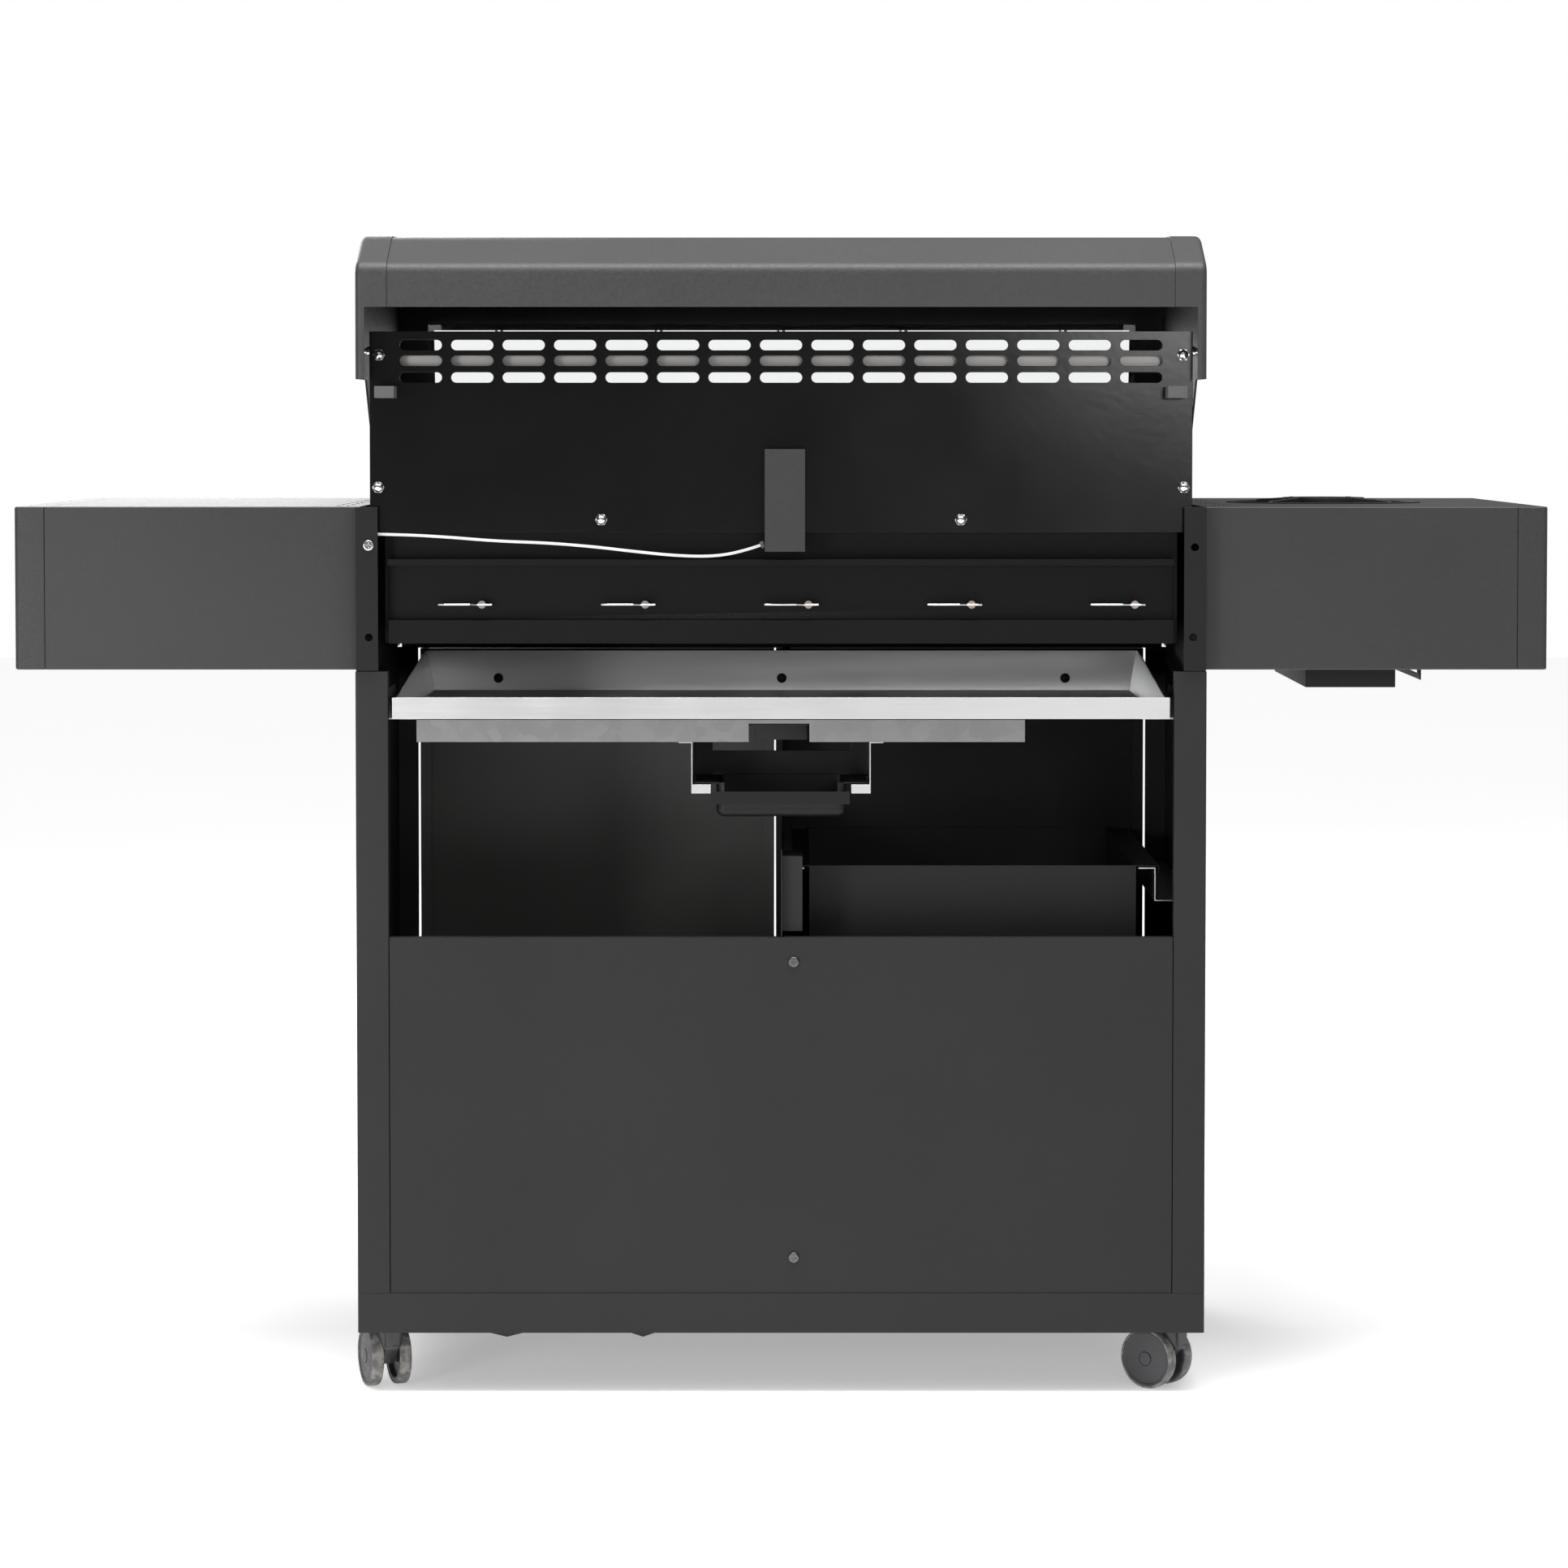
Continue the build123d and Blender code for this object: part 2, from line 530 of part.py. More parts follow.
def gas_manifold():
    """The gas pipe with a valve for each burner, the side burner's feed, and the inlet fitting."""
    pipe = rod_x((-418, 418), -222, BURNER_HEIGHT, 20)
    pipe += rod_x((SIDE_BURNER_X - 8, -417), -222, BURNER_HEIGHT, 9)
    for _, x, face in knob_places():
        back = 11 if face == SHELF_FRONT else 0
        pipe += block((x - 11, x + 11), (-249 + back, -206 + back), (799, 825))
        pipe += rod_y(x, (-207 + back, -192 + (4 if back else 0)), BURNER_HEIGHT, 8)
        pipe -= rod_y(x, (-250 + back, -232 + back), BURNER_HEIGHT, STEM_DIAMETER + 0.8)
    elbow = rod_z(408, -222, (770, 812), 16) + rod_z(408, -222, (752, 771), 9)
    nut = Pos(408, -222, 776) * extrude(RegularPolygon(12, 6), amount=12)
    return pipe + elbow + nut


def knob_bezels():
    """A plated ring round each knob."""
    rings = []
    for _, x, face in knob_places():
        ring = rod_y(x, (face - 3.5, face), BURNER_HEIGHT, KNOB_DIAMETER + 16)
        ring -= rod_y(x, (face - 5, face + 1), BURNER_HEIGHT, KNOB_DIAMETER + 3)
        rings.append(ring)
    return rings


def valve_stem(x, face):
    """The flatted spindle between a valve and its knob."""
    stem = rod_y(x, (face + 29, face - 22), BURNER_HEIGHT, STEM_DIAMETER)
    return stem - block((x - 5, x + 5), (face - 30, face - 8), (BURNER_HEIGHT + 2.6, BURNER_HEIGHT + 6))


def knob(x, face):
    """A control knob with a grip bar across its face, bored for the spindle."""
    start = face - KNOB_GAP
    skirt = rod_y(x, (start, start - 10), BURNER_HEIGHT, KNOB_DIAMETER)
    body = rod_y(x, (start - 10, start - KNOB_LENGTH + 7), BURNER_HEIGHT, KNOB_DIAMETER - 8)
    grip = block((x - 5.5, x + 5.5), (start - 10, start - KNOB_LENGTH), (BURNER_HEIGHT - 20, BURNER_HEIGHT + 20))
    bore = rod_y(x, (face + 1, face - 22.4), BURNER_HEIGHT, STEM_DIAMETER + 0.6)
    return skirt + body + grip - bore


# ---------------------------------------------------------------- hood
HOOD_OUTLINE = [
    (295, 900), (295, 1157), (226, 1188), (40, 1191), (-132, 1181), (-214, 1132), (-240, 1000), (-240, 900),
]
HOOD_FACE = -240                 # the upright lower part of the hood's front
HANDLE_Z = 960                   # height of the handle and of the gauge's middle
HOOD_RADII = {1: 16, 2: 60, 3: 300, 4: 60, 5: 60, 6: 200}


def hood_section(grow):
    """The hood's closed cross-section, grown outwards by some millimetres."""
    face = outline(HOOD_OUTLINE, HOOD_RADII)
    return offset(face, amount=grow) if grow else face


def hood_bar(outer, wall, x):
    """A stretch of the hood's bent wall: from its rear lip over the top to its front edge."""
    section = hood_section(outer) - hood_section(outer - wall)
    bar = extrude(Plane.YZ.offset(x[0]) * section, amount=x[1] - x[0])
    bar -= block((-900, 900), (-400, 100), (800, HOOD_BOTTOM))
    bar -= block((-900, 900), (50, 400), (800, HOOD_LIP))
    return bar


def window_frame_points():
    """The straight stretch of the hood's front that carries the window: its top and bottom, and its normal."""
    top = Vector(*HOOD_OUTLINE[5])
    bottom = Vector(*HOOD_OUTLINE[6])
    along = (bottom - top).normalized()
    inward = Vector(-along.Y, along.X)
    return top + along * 31, bottom - along * 22, inward


def hood_shell():
    """The hood's long bent sheet, with the window opening in its front."""
    shell = hood_bar(0, HEAVY, (-HOOD_HALF + CAP_WIDTH, HOOD_HALF - CAP_WIDTH))
    top, bottom, inward = window_frame_points()
    corners = [top - inward * 8, top + inward * 8, bottom + inward * 8, bottom - inward * 8]
    opening = side_extrusion([(c.X, c.Y) for c in corners], (-391, 391))
    return shell - opening - rod_y(0, (HOOD_FACE - 1, HOOD_FACE + 3), HANDLE_Z, 6.4)


def hood_window():
    """The heat-proof glass behind the opening."""
    top, bottom, inward = window_frame_points()
    along = (bottom - top).normalized()
    high = top - along * 7 + inward * (HEAVY + 0.8)
    low = bottom + along * 7 + inward * (HEAVY + 0.8)
    corners = [high, high + inward * 4, low + inward * 4, low]
    return side_extrusion([(c.X, c.Y) for c in corners], (-397.5, 397.5))


def hood_cap():
    """The right end of the hood: a pressed cap with rounded edges and a narrow lip down its rear corner."""
    seam = HOOD_HALF - CAP_WIDTH
    outer = extrude(Plane.YZ.offset(seam) * hood_section(1.3), amount=CAP_WIDTH)
    outer = fillet(outer.edges().group_by(Axis.X)[-1], 6)
    inner = extrude(Plane.YZ.offset(seam) * hood_section(-0.7), amount=CAP_WIDTH - 2)
    inner = fillet(inner.edges().group_by(Axis.X)[-1], 4)
    below = side_extrusion([(400, 800), (400, 1042), (190, 1042), (64, HOOD_BOTTOM), (-400, HOOD_BOTTOM),
                            (-400, 800)], (seam - 1, HOOD_HALF + 1))
    opening = block((seam - 1, HOOD_HALF - 9.5), (280, 300), (1000, HOOD_LIP))
    pin_hole = rod_x((HOOD_HALF - 5, HOOD_HALF + 5), HINGE_Y, HINGE_Z, HINGE_PIN + 0.8)
    return outer - inner - below - opening - pin_hole


def hinge_pins():
    """The hood's two shouldered hinge pins and the door's two pivot pins."""
    pins = []
    for side in (-1, 1):
        pin = rod_x((side * 412, side * 433), HINGE_Y, HINGE_Z, HINGE_PIN)
        pin += rod_x((side * 420, side * 423), HINGE_Y, HINGE_Z, 9.6)
        pins.append(pin)
    x, y = DOOR_PIVOT
    pins.append(rod_z(x, y, (BASE_TOP, 112), 6) + rod_z(x, y, (BASE_TOP, BASE_TOP + 1.6), 12))
    pins.append(rod_z(x, y, (738, CONTROL_BOTTOM), 6) + rod_z(x, y, (744, CONTROL_BOTTOM), 12))
    return pins


def hood_handle():
    """The long round bar on the hood's front, on two posts."""
    bar = rod_x((-305, 305), -287.3, HANDLE_Z, 18)
    posts = [rod_y(side * 275, (HOOD_FACE, -282), HANDLE_Z, 14) for side in (-1, 1)]
    roses = [rod_y(side * 275, (HOOD_FACE, -243), HANDLE_Z, 26) for side in (-1, 1)]
    return bar + posts[0] + posts[1] + roses[0] + roses[1]


def temperature_gauge():
    """The round gauge under the window: case, dial and stem through the hood."""
    case = rod_y(0, (HOOD_FACE, -250), HANDLE_Z, 64) - rod_y(0, (-247, -251), HANDLE_Z, 56)
    probe = rod_y(0, (HOOD_FACE, -190), HANDLE_Z, 6)
    return case + probe


# ---------------------------------------------------------------- front: door and drawer
DOOR_LEFT = 1 + 7.7
DOOR_RIGHT = HALF - FRONT_FLANGE - FRONT_GAP
DOOR_Z = (106, 742)
DOOR_PIVOT = (404, -248)


def front_pan(x, z):
    """A folded front: an outer sheet with deep returns all round and a short inner lip."""
    back = DOOR_FRONT + DOOR_DEPTH
    pan = block(x, (DOOR_FRONT, back), z)
    pan = fillet(pan.edges().group_by(Axis.Y)[0], FOLD)
    pan -= block((x[0] + SHEET, x[1] - SHEET), (DOOR_FRONT + SHEET, back - SHEET), (z[0] + SHEET, z[1] - SHEET))
    pan -= block((x[0] + 12, x[1] - 12), (back - 3, back + 1), (z[0] + 12, z[1] - 12))
    return pan


def door():
    """The right-hand door, bored for its pivot pins."""
    x, y = DOOR_PIVOT
    return front_pan((DOOR_LEFT, DOOR_RIGHT), DOOR_Z) - rod_z(x, y, (DOOR_Z[0] - 1, DOOR_Z[1] + 1), 6.8)


def bar_handle(x, z):
    """A flat-ended bar handle on two posts; the longer of x and z is its length."""
    y_bar = (-287, -279)
    bar = block(x, y_bar, z)
    edges = bar.edges().group_by(Axis.Y)[0]
    bar = fillet(edges, 2)
    if z[1] - z[0] > x[1] - x[0]:
        middle = (x[0] + x[1]) / 2
        feet = [rod_y(middle, (DOOR_FRONT, -280), end, 9) for end in (z[0] + 18, z[1] - 18)]
    else:
        middle = (z[0] + z[1]) / 2
        feet = [rod_y(end, (DOOR_FRONT, -280), middle, 9) for end in (x[0] + 18, x[1] - 18)]
    return bar + feet[0] + feet[1]


def drawer():
    """The tall-fronted drawer: a folded box whose top flanges run on the rails."""
    front = front_pan((-DOOR_RIGHT, DOOR_LEFT - FRONT_GAP), DOOR_Z)
    x = (-370, -29)
    y = (DOOR_FRONT + SHEET, 180)
    z = (150, 537)
    box = block(x, y, z)
    box -= block((x[0] + SHEET, x[1] - SHEET), (y[0] + SHEET, y[1] - SHEET), (z[0] + SHEET, z[1] + 1))
    left_flange = block((-394, -370), (-236, 180), (z[1] - SHEET, z[1]))
    left_flange += block((-394, -394 + SHEET), (-236, 180), (528, z[1]))
    right_flange = block((-29, -12), (-236, 180), (z[1] - SHEET, z[1]))
    return front + box + left_flange + right_flange


def slide_rails():
    """The drip tray's rails with their cross bar, and the drawer's two rails."""
    y = (FIREBOX_FRONT, 249)
    leg = block((371, INNER), y, (694, 695.5))
    web = block((INNER - SHEET, INNER), y, (694, 706))
    tray_rail = leg + web
    cross_bar = block((-INNER, INNER), (-150, -122), (690.5, 692.5))
    ledge = block((-390, -372), (-230, 185), (533.6, 535.2))
    ledge += block((-390, -388.8), (-230, 185), (500, 535.2))
    ledge += block((-INNER, -388.8), (-230, 185), (500, 501.2))
    inner_ledge = block((-24, -SHEET), (-230, 185), (533.6, 535.2))
    inner_ledge += block((-2 * SHEET, -SHEET), (-230, 185), (500, 535.2))
    return tray_rail, mirrored(tray_rail), cross_bar, ledge, inner_ledge


# ---------------------------------------------------------------- grease tray and cup
def drip_tray():
    """The bright tray under the burners: flared walls, a tall front and a low rear rim, and a drain."""
    top_half = 398
    bottom_half = 390
    rear = 258
    front = rear - TRAY_LENGTH
    lower = Plane.XY.offset(TRAY_FLOOR) * Pos(0, (front + rear) / 2) * Rectangle(2 * bottom_half, TRAY_LENGTH)
    upper = Plane.XY.offset(TRAY_TOP) * Pos(0, (front + rear) / 2) * Rectangle(2 * top_half, TRAY_LENGTH)
    outer = loft([lower, upper])
    lower_in = (Plane.XY.offset(TRAY_FLOOR + SHEET) * Pos(0, (front + rear) / 2) *
                Rectangle(2 * (bottom_half - SHEET + 0.2), TRAY_LENGTH - 2 * SHEET))
    upper_in = (Plane.XY.offset(TRAY_TOP + SHEET) * Pos(0, (front + rear) / 2) *
                Rectangle(2 * (top_half - SHEET + 0.2), TRAY_LENGTH - 2 * SHEET))
    tray = outer - loft([lower_in, upper_in])
    tray -= side_extrusion([(front + 30, TRAY_TOP), (rear + 5, TRAY_RIM[1]), (rear + 5, 800),
                            (front + 30, 800)], (-500, 500))
    tray += block((-top_half, top_half), (rear - 0.2, rear + 1.8), TRAY_RIM)
    return tray - rod_z(0, 200, (690, 710), 36)


def heat_shield():
    """The galvanised plate over the gas bottle, with a rear skirt that is notched for the drain."""
    x = (-250, 373.5)
    y = (-150, 254)
    z = (692.5, 694)
    shield = block(x, y, z)
    shield += block(x, (y[1] - HEAVY, y[1]), (671, 694))
    shield += block(x, (y[1] - 16, y[1]), (671, 671 + HEAVY))
    shield -= block((-29, 33), (140, y[1] + 1), (660, 690))
    shield -= block((-29, 33), (140, y[1] - HEAVY), (660, 700))
    return shield


def drain_guides():
    """The black chute under the tray's drain, and the plate in front of the cup that hangs its rails."""
    chute = block((-27, 27), (150, 248), (673, 691))
    chute -= block((-25.8, 25.8), (151.2, 246.8), (660, 700))
    tabs = block((-29, 33), (248, 250), (688, 692.5))
    hanger = block((-90.8, 90.8), (138, 139.2), (626, 692.5))
    hanger -= block((-72, 72), (137, 140), (654, 700))
    return chute + tabs, hanger


def cup_rails():
    """Two bright folded rails that the grease cup hangs from."""
    y = (139.2, 252)
    web = block((90.8, 92), y, (626, 671))
    rail = web + block((90.8, 105), y, (669.8, 671)) + block((72, 92), y, (626, 627.2))
    rail += block((72, 92), (y[1] - SHEET, y[1]), (618, 627.2))
    return rail, mirrored(rail)


def grease_cup():
    """The black cup: a rounded pan with side flanges on the rails and a low lip at the rear."""
    body = block((-66.5, 66.5), (146, 253), (594, 629.4))
    body = fillet(body.edges().filter_by(Axis.Z), 9)
    body = fillet(body.edges().group_by(Axis.Z)[0], 8)
    hollow = block((-65.3, 65.3), (147.2, 251.8), (595.2, 640))
    hollow = fillet(hollow.edges().filter_by(Axis.Z), 7.8)
    hollow = fillet(hollow.edges().group_by(Axis.Z)[0], 6.8)
    flange = block((-88.5, 88.5), (146, 250), (628, 629.4))
    flange -= block((-60, 60), (160, 240), (620, 640))
    cup = body + flange - hollow
    cup -= block((-58, 58), (236, 260), (620, 640))
    lip = block((-70.5, 70.5), (252, 254.5), (607, 620))
    return cup + lip


# ---------------------------------------------------------------- casters
def caster_fork(x, y, turn):
    """A caster's body: stem, neck and the web between its wheels, with its axle."""
    axle_z = WHEEL_DIAMETER / 2
    half = WHEEL_GAP / 2 - 1
    reach = CASTER_TRAIL
    web = side_extrusion([(-reach - 12, axle_z - 8), (-reach + 10, axle_z - 8), (13, 46), (13, 62), (-13, 62),
                          (-reach - 14, 52), (-reach - 16, axle_z + 4)], (-half, half))
    neck = rod_z(0, 0, (42, 62.4), 26) + rod_z(0, 0, (60, 96), 11)
    fork = web + neck - rod_x((-half - 1, half + 1), -reach, axle_z, 6)
    cheeks = [block((side * half, side * 14), (-14, 14), (42, 63)) for side in (-1, 1)]
    for cheek in cheeks:
        fork -= cheek & (rod_x((-30, 30), -reach, axle_z, WHEEL_DIAMETER + 2))
    length = WHEEL_GAP / 2 + WHEEL_WIDTH - 1.5
    axle = rod_x((-length, length), -reach, axle_z, 6)
    place = Pos(x, y, 0) * Rot(0, 0, turn)
    return place * fork, place * axle


def caster_wheels(x, y, turn):
    """The twin wheels on one axle, each a rimmed disc bored for the axle."""
    axle_z = WHEEL_DIAMETER / 2
    wheels = []
    for side in (-1, 1):
        near = side * WHEEL_GAP / 2
        far = side * (WHEEL_GAP / 2 + WHEEL_WIDTH)
        wheel = rod_x((near, far), -CASTER_TRAIL, axle_z, WHEEL_DIAMETER)
        rims = wheel.edges().filter_by(GeomType.CIRCLE)
        wheel = fillet(rims, 2)
        wheel -= rod_x((near - side, near + side * 4), -CASTER_TRAIL, axle_z, WHEEL_DIAMETER - 14)
        wheel -= rod_x((near - side, far - side * 1.2), -CASTER_TRAIL, axle_z, 6.6)
        wheels.append(Pos(x, y, 0) * Rot(0, 0, turn) * wheel)
    return wheels


# ---------------------------------------------------------------- write every sub-part
save("base_tray", base_tray(), *caster_sockets())
save("side_panels", side_panel(), mirrored(side_panel()))
save("back_panel", back_panel())
save("cabinet_divider", *cabinet_divider())
save("firebox", firebox(), burner_rail())
save("main_burners", *main_burners())
save("hairpin_clips", *hairpin_clips())
save("flame_tamers", *flame_tamers())
save("cooking_grates", *cooking_grates())
save("warming_rack", warming_rack())
save("rear_vent_panel", rear_vent_panel())
save("vent_strip", vent_strip())
save("ignition_cover", ignition_cover())
save("ignition_lead", ignition_lead())
save("rubber_stops", *hood_bumpers(), *lead_grommets())
save("fasteners", *fasteners())
save("shelf_right", *shelf(1))
save("shelf_left", *shelf(-1))
save("shelf_brackets", *shelf_brackets())
save("side_burner_box", side_burner_box())
save("side_burner", *side_burner())
save("control_panel", control_panel())
save("gas_manifold", gas_manifold())
save("knob_bezels", *knob_bezels())
for knob_name, knob_x, panel_face in knob_places():
    save(f"stem_{knob_name}", valve_stem(knob_x, panel_face))
    save(f"knob_{knob_name}", knob(knob_x, panel_face))
save("hinge_pins", *hinge_pins())
save("hood_shell", hood_shell())
save("hood_caps", hood_cap(), mirrored(hood_cap()))
save("hood_window", hood_window())
save("hood_handle", hood_handle())
save("temperature_gauge", temperature_gauge())
save("door", door())
save("door_handle", bar_handle((26, 38), (520, 690)))
save("drawer", drawer())
save("drawer_handle", bar_handle((-290, -110), (676, 688)))
save("slide_rails", *slide_rails())
save("drip_tray", drip_tray())
save("heat_shield", heat_shield())
save("drain_guides", *drain_guides())
save("cup_rails", *cup_rails())
save("grease_cup", grease_cup())
for caster_name, (caster_x, caster_y, axle_turn) in CASTERS.items():
    save(f"caster_fork_{caster_name}", *caster_fork(caster_x, caster_y, axle_turn))
    save(f"caster_wheels_{caster_name}", *caster_wheels(caster_x, caster_y, axle_turn))
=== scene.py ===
# %% [markdown]
# # A gas barbecue, finished in Blender
# The frame file holds every part of the barbecue at its real size: sheets, burners, knobs, joints. This
# notebook gives those parts their looks. It never moves or resizes one, so everything still opens and slides.
#
# A piece is finished in one of two ways. A folded sheet keeps its shape and gets soft edges and a coating. A
# part that the frame only sketches, such as a wheel or a cooking grate, is made again with more detail.

# %% Load the frame
import json
import math

import bmesh
import bpy
from mathutils import Matrix, Vector


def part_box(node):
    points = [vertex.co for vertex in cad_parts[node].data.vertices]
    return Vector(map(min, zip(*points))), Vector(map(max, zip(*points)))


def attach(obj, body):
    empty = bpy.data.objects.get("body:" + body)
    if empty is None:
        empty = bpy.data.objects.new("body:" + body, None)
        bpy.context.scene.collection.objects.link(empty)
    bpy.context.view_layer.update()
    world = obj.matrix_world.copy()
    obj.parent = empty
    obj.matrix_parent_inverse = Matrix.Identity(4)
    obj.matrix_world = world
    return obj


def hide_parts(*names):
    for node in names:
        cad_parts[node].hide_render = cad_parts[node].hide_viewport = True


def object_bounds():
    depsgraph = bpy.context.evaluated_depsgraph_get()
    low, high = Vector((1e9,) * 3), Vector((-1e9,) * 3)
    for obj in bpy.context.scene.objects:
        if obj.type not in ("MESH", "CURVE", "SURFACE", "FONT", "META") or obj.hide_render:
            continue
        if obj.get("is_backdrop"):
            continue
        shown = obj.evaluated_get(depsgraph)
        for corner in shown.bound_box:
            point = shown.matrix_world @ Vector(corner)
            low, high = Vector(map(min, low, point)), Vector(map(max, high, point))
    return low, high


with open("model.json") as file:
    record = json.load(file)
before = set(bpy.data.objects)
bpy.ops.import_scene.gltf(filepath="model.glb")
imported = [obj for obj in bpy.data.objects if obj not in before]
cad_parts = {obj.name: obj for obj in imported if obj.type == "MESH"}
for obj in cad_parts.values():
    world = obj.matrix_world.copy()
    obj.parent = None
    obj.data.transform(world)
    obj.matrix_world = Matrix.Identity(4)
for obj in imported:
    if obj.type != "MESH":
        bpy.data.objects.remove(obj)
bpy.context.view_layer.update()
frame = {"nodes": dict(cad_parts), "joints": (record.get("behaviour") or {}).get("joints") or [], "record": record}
RECORD = frame["record"]
SLOT_OF = {part["node"]: part["material_slot"] for part in RECORD["subparts"]}
BODY_OF = {name: body for body, names in RECORD["behaviour"]["bodies"].items() for name in names}
JOINTS = {joint["name"]: joint for joint in frame["joints"]}
MM = 0.001

# %% [markdown]
# ## The camera
# A long lens far away keeps upright edges upright. The barbecue is seen squarely from behind, from the height
# of its hood. The camera tips down by a few degrees only, and a small lens shift does the rest of the framing,
# as an architect's camera does, so the posts stay all but parallel.

# %% Camera
scene = bpy.context.scene
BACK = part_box("side_panels")[1].y
CAMERA_DISTANCE = 4.60
EYE_HEIGHT = 1.003
TIP_DOWN = 2.5
camera_data = bpy.data.cameras.new("camera")
camera_data.lens = 103.55
camera_data.sensor_width = 36.0
camera_data.shift_x = -0.0031
camera_data.shift_y = -0.1080
camera_data.clip_end = 60.0
camera = bpy.data.objects.new("camera", camera_data)
camera.location = (-0.008, BACK + CAMERA_DISTANCE, EYE_HEIGHT)
camera.rotation_euler = (math.radians(90.0 - TIP_DOWN), 0.0, math.radians(180.0))
scene.collection.objects.link(camera)
scene.camera = camera
scene.view_settings.view_transform = "Standard"
print("camera at", [round(value, 3) for value in camera.location])

# %% [markdown]
# ## Small helpers for shader nodes
# Every finish below is a handful of nodes. `shade` adds one node and joins it up: a value that is itself a
# socket becomes a link, and anything else is set on the socket.

# %% Node helpers
def shade(tree, kind, inputs=None, **settings):
    """Adds a node, sets its properties, and links or sets its inputs."""
    made = tree.nodes.new(kind)
    for key, value in settings.items():
        setattr(made, key, value)
    for key, value in (inputs or {}).items():
        if isinstance(value, bpy.types.NodeSocket):
            tree.links.new(value, made.inputs[key])
        else:
            made.inputs[key].default_value = value
    return made


def blank_material(name):
    """A material with an output and a Principled shader. Returns it, its tree, the shader and object space."""
    material = bpy.data.materials.new(name)
    material.use_nodes = True
    tree = material.node_tree
    shader = tree.nodes["Principled BSDF"]
    place = shade(tree, "ShaderNodeTexCoord").outputs["Object"]
    return material, tree, shader, place


def noise(tree, place, scale, detail=3.0, stretch=(1, 1, 1)):
    """A cloud of values around 0.5; stretch squeezes it along an axis to make grain or streaks."""
    mapped = shade(tree, "ShaderNodeMapping", {"Vector": place, "Scale": stretch})
    made = shade(tree, "ShaderNodeTexNoise",
                 {"Vector": mapped.outputs["Vector"], "Scale": scale, "Detail": detail})
    return made.outputs["Fac"]


def spread(tree, value, low, high, ends=(0.3, 0.7)):
    """Maps a noise value onto a range."""
    return shade(tree, "ShaderNodeMapRange",
                 {"Value": value, "From Min": ends[0], "From Max": ends[1], "To Min": low, "To Max": high}
                 ).outputs["Result"]


def tint(tree, factor, dark, light):
    """A colour between two, chosen by a factor."""
    mixed = shade(tree, "ShaderNodeMix", data_type="RGBA")
    tree.links.new(factor, mixed.inputs["Factor"])
    # The node has an A and a B for each kind of data. Only the colour pair is wanted.
    for socket in mixed.inputs:
        if socket.type == "RGBA":
            socket.default_value = (*(dark if socket.name == "A" else light), 1.0)
    return next(socket for socket in mixed.outputs if socket.type == "RGBA")


def bump(tree, height, strength, distance):
    """A bump from a height value; distance is in metres."""
    return shade(tree, "ShaderNodeBump",
                 {"Height": height, "Strength": strength, "Distance": distance}).outputs["Normal"]


# %% [markdown]
# ## Powder coat
# Most of the barbecue is sheet steel under baked powder paint. Up close that is a fine pebbled skin, about a
# millimetre from crest to crest, that breaks highlights into a satin glow. Two noises make it: a fine one for
# the pebbles and a wide one for the slight cloudiness of the coat.

# %% Powder coat
def powder_coat(name, colour, roughness=0.48, pebble=0.30, size=620.0, shine=0.36):
    material, tree, shader, place = blank_material(name)
    shader.inputs["Specular IOR Level"].default_value = shine
    fine = noise(tree, place, size, 2.0)
    wide = noise(tree, place, 5.0, 4.0)
    grains = noise(tree, place, size * 0.45, 3.0)
    lighter = tuple(channel * 1.22 for channel in colour)
    darker = tuple(channel * 0.82 for channel in colour)
    cloudy = shade(tree, "ShaderNodeMath", {0: spread(tree, wide, 0.2, 0.6), 1: spread(tree, grains, 0.0, 0.45)},
                   operation="ADD").outputs[0]
    tree.links.new(tint(tree, cloudy, darker, lighter), shader.inputs["Base Color"])
    tree.links.new(spread(tree, grains, roughness - 0.06, roughness + 0.08), shader.inputs["Roughness"])
    tree.links.new(bump(tree, fine, pebble, 0.0005), shader.inputs["Normal"])
    return material


# %% [markdown]
# ## Vitreous enamel
# The tall rear panel is dipped in glass enamel. It is nearly black and shiny, but not flat: the melt leaves a
# faint orange-peel ripple a few millimetres wide, which bends reflections a little.

# %% Enamel
def enamel(name, colour, roughness=0.16, ripple=0.06):
    material, tree, shader, place = blank_material(name)
    peel = noise(tree, place, 110.0, 2.0)
    haze = noise(tree, place, 9.0, 5.0)
    tree.links.new(tint(tree, haze, tuple(c * 0.9 for c in colour), tuple(c * 1.12 for c in colour)),
                   shader.inputs["Base Color"])
    tree.links.new(spread(tree, haze, roughness, roughness + 0.035), shader.inputs["Roughness"])
    tree.links.new(bump(tree, peel, ripple, 0.0006), shader.inputs["Normal"])
    shader.inputs["Specular IOR Level"].default_value = 0.42
    return material


# %% [markdown]
# ## Bare metals
# Rolled steel has streaks along the way it was rolled, so its noise is squeezed hard across that direction.
# Galvanised plate shows spangles instead, the flat crystals of zinc, which a Voronoi pattern gives. Cast iron
# is dark and grainy all over.

# %% Metals
STREAK_ACROSS = 1500.0
STREAK_ALONG = 14.0


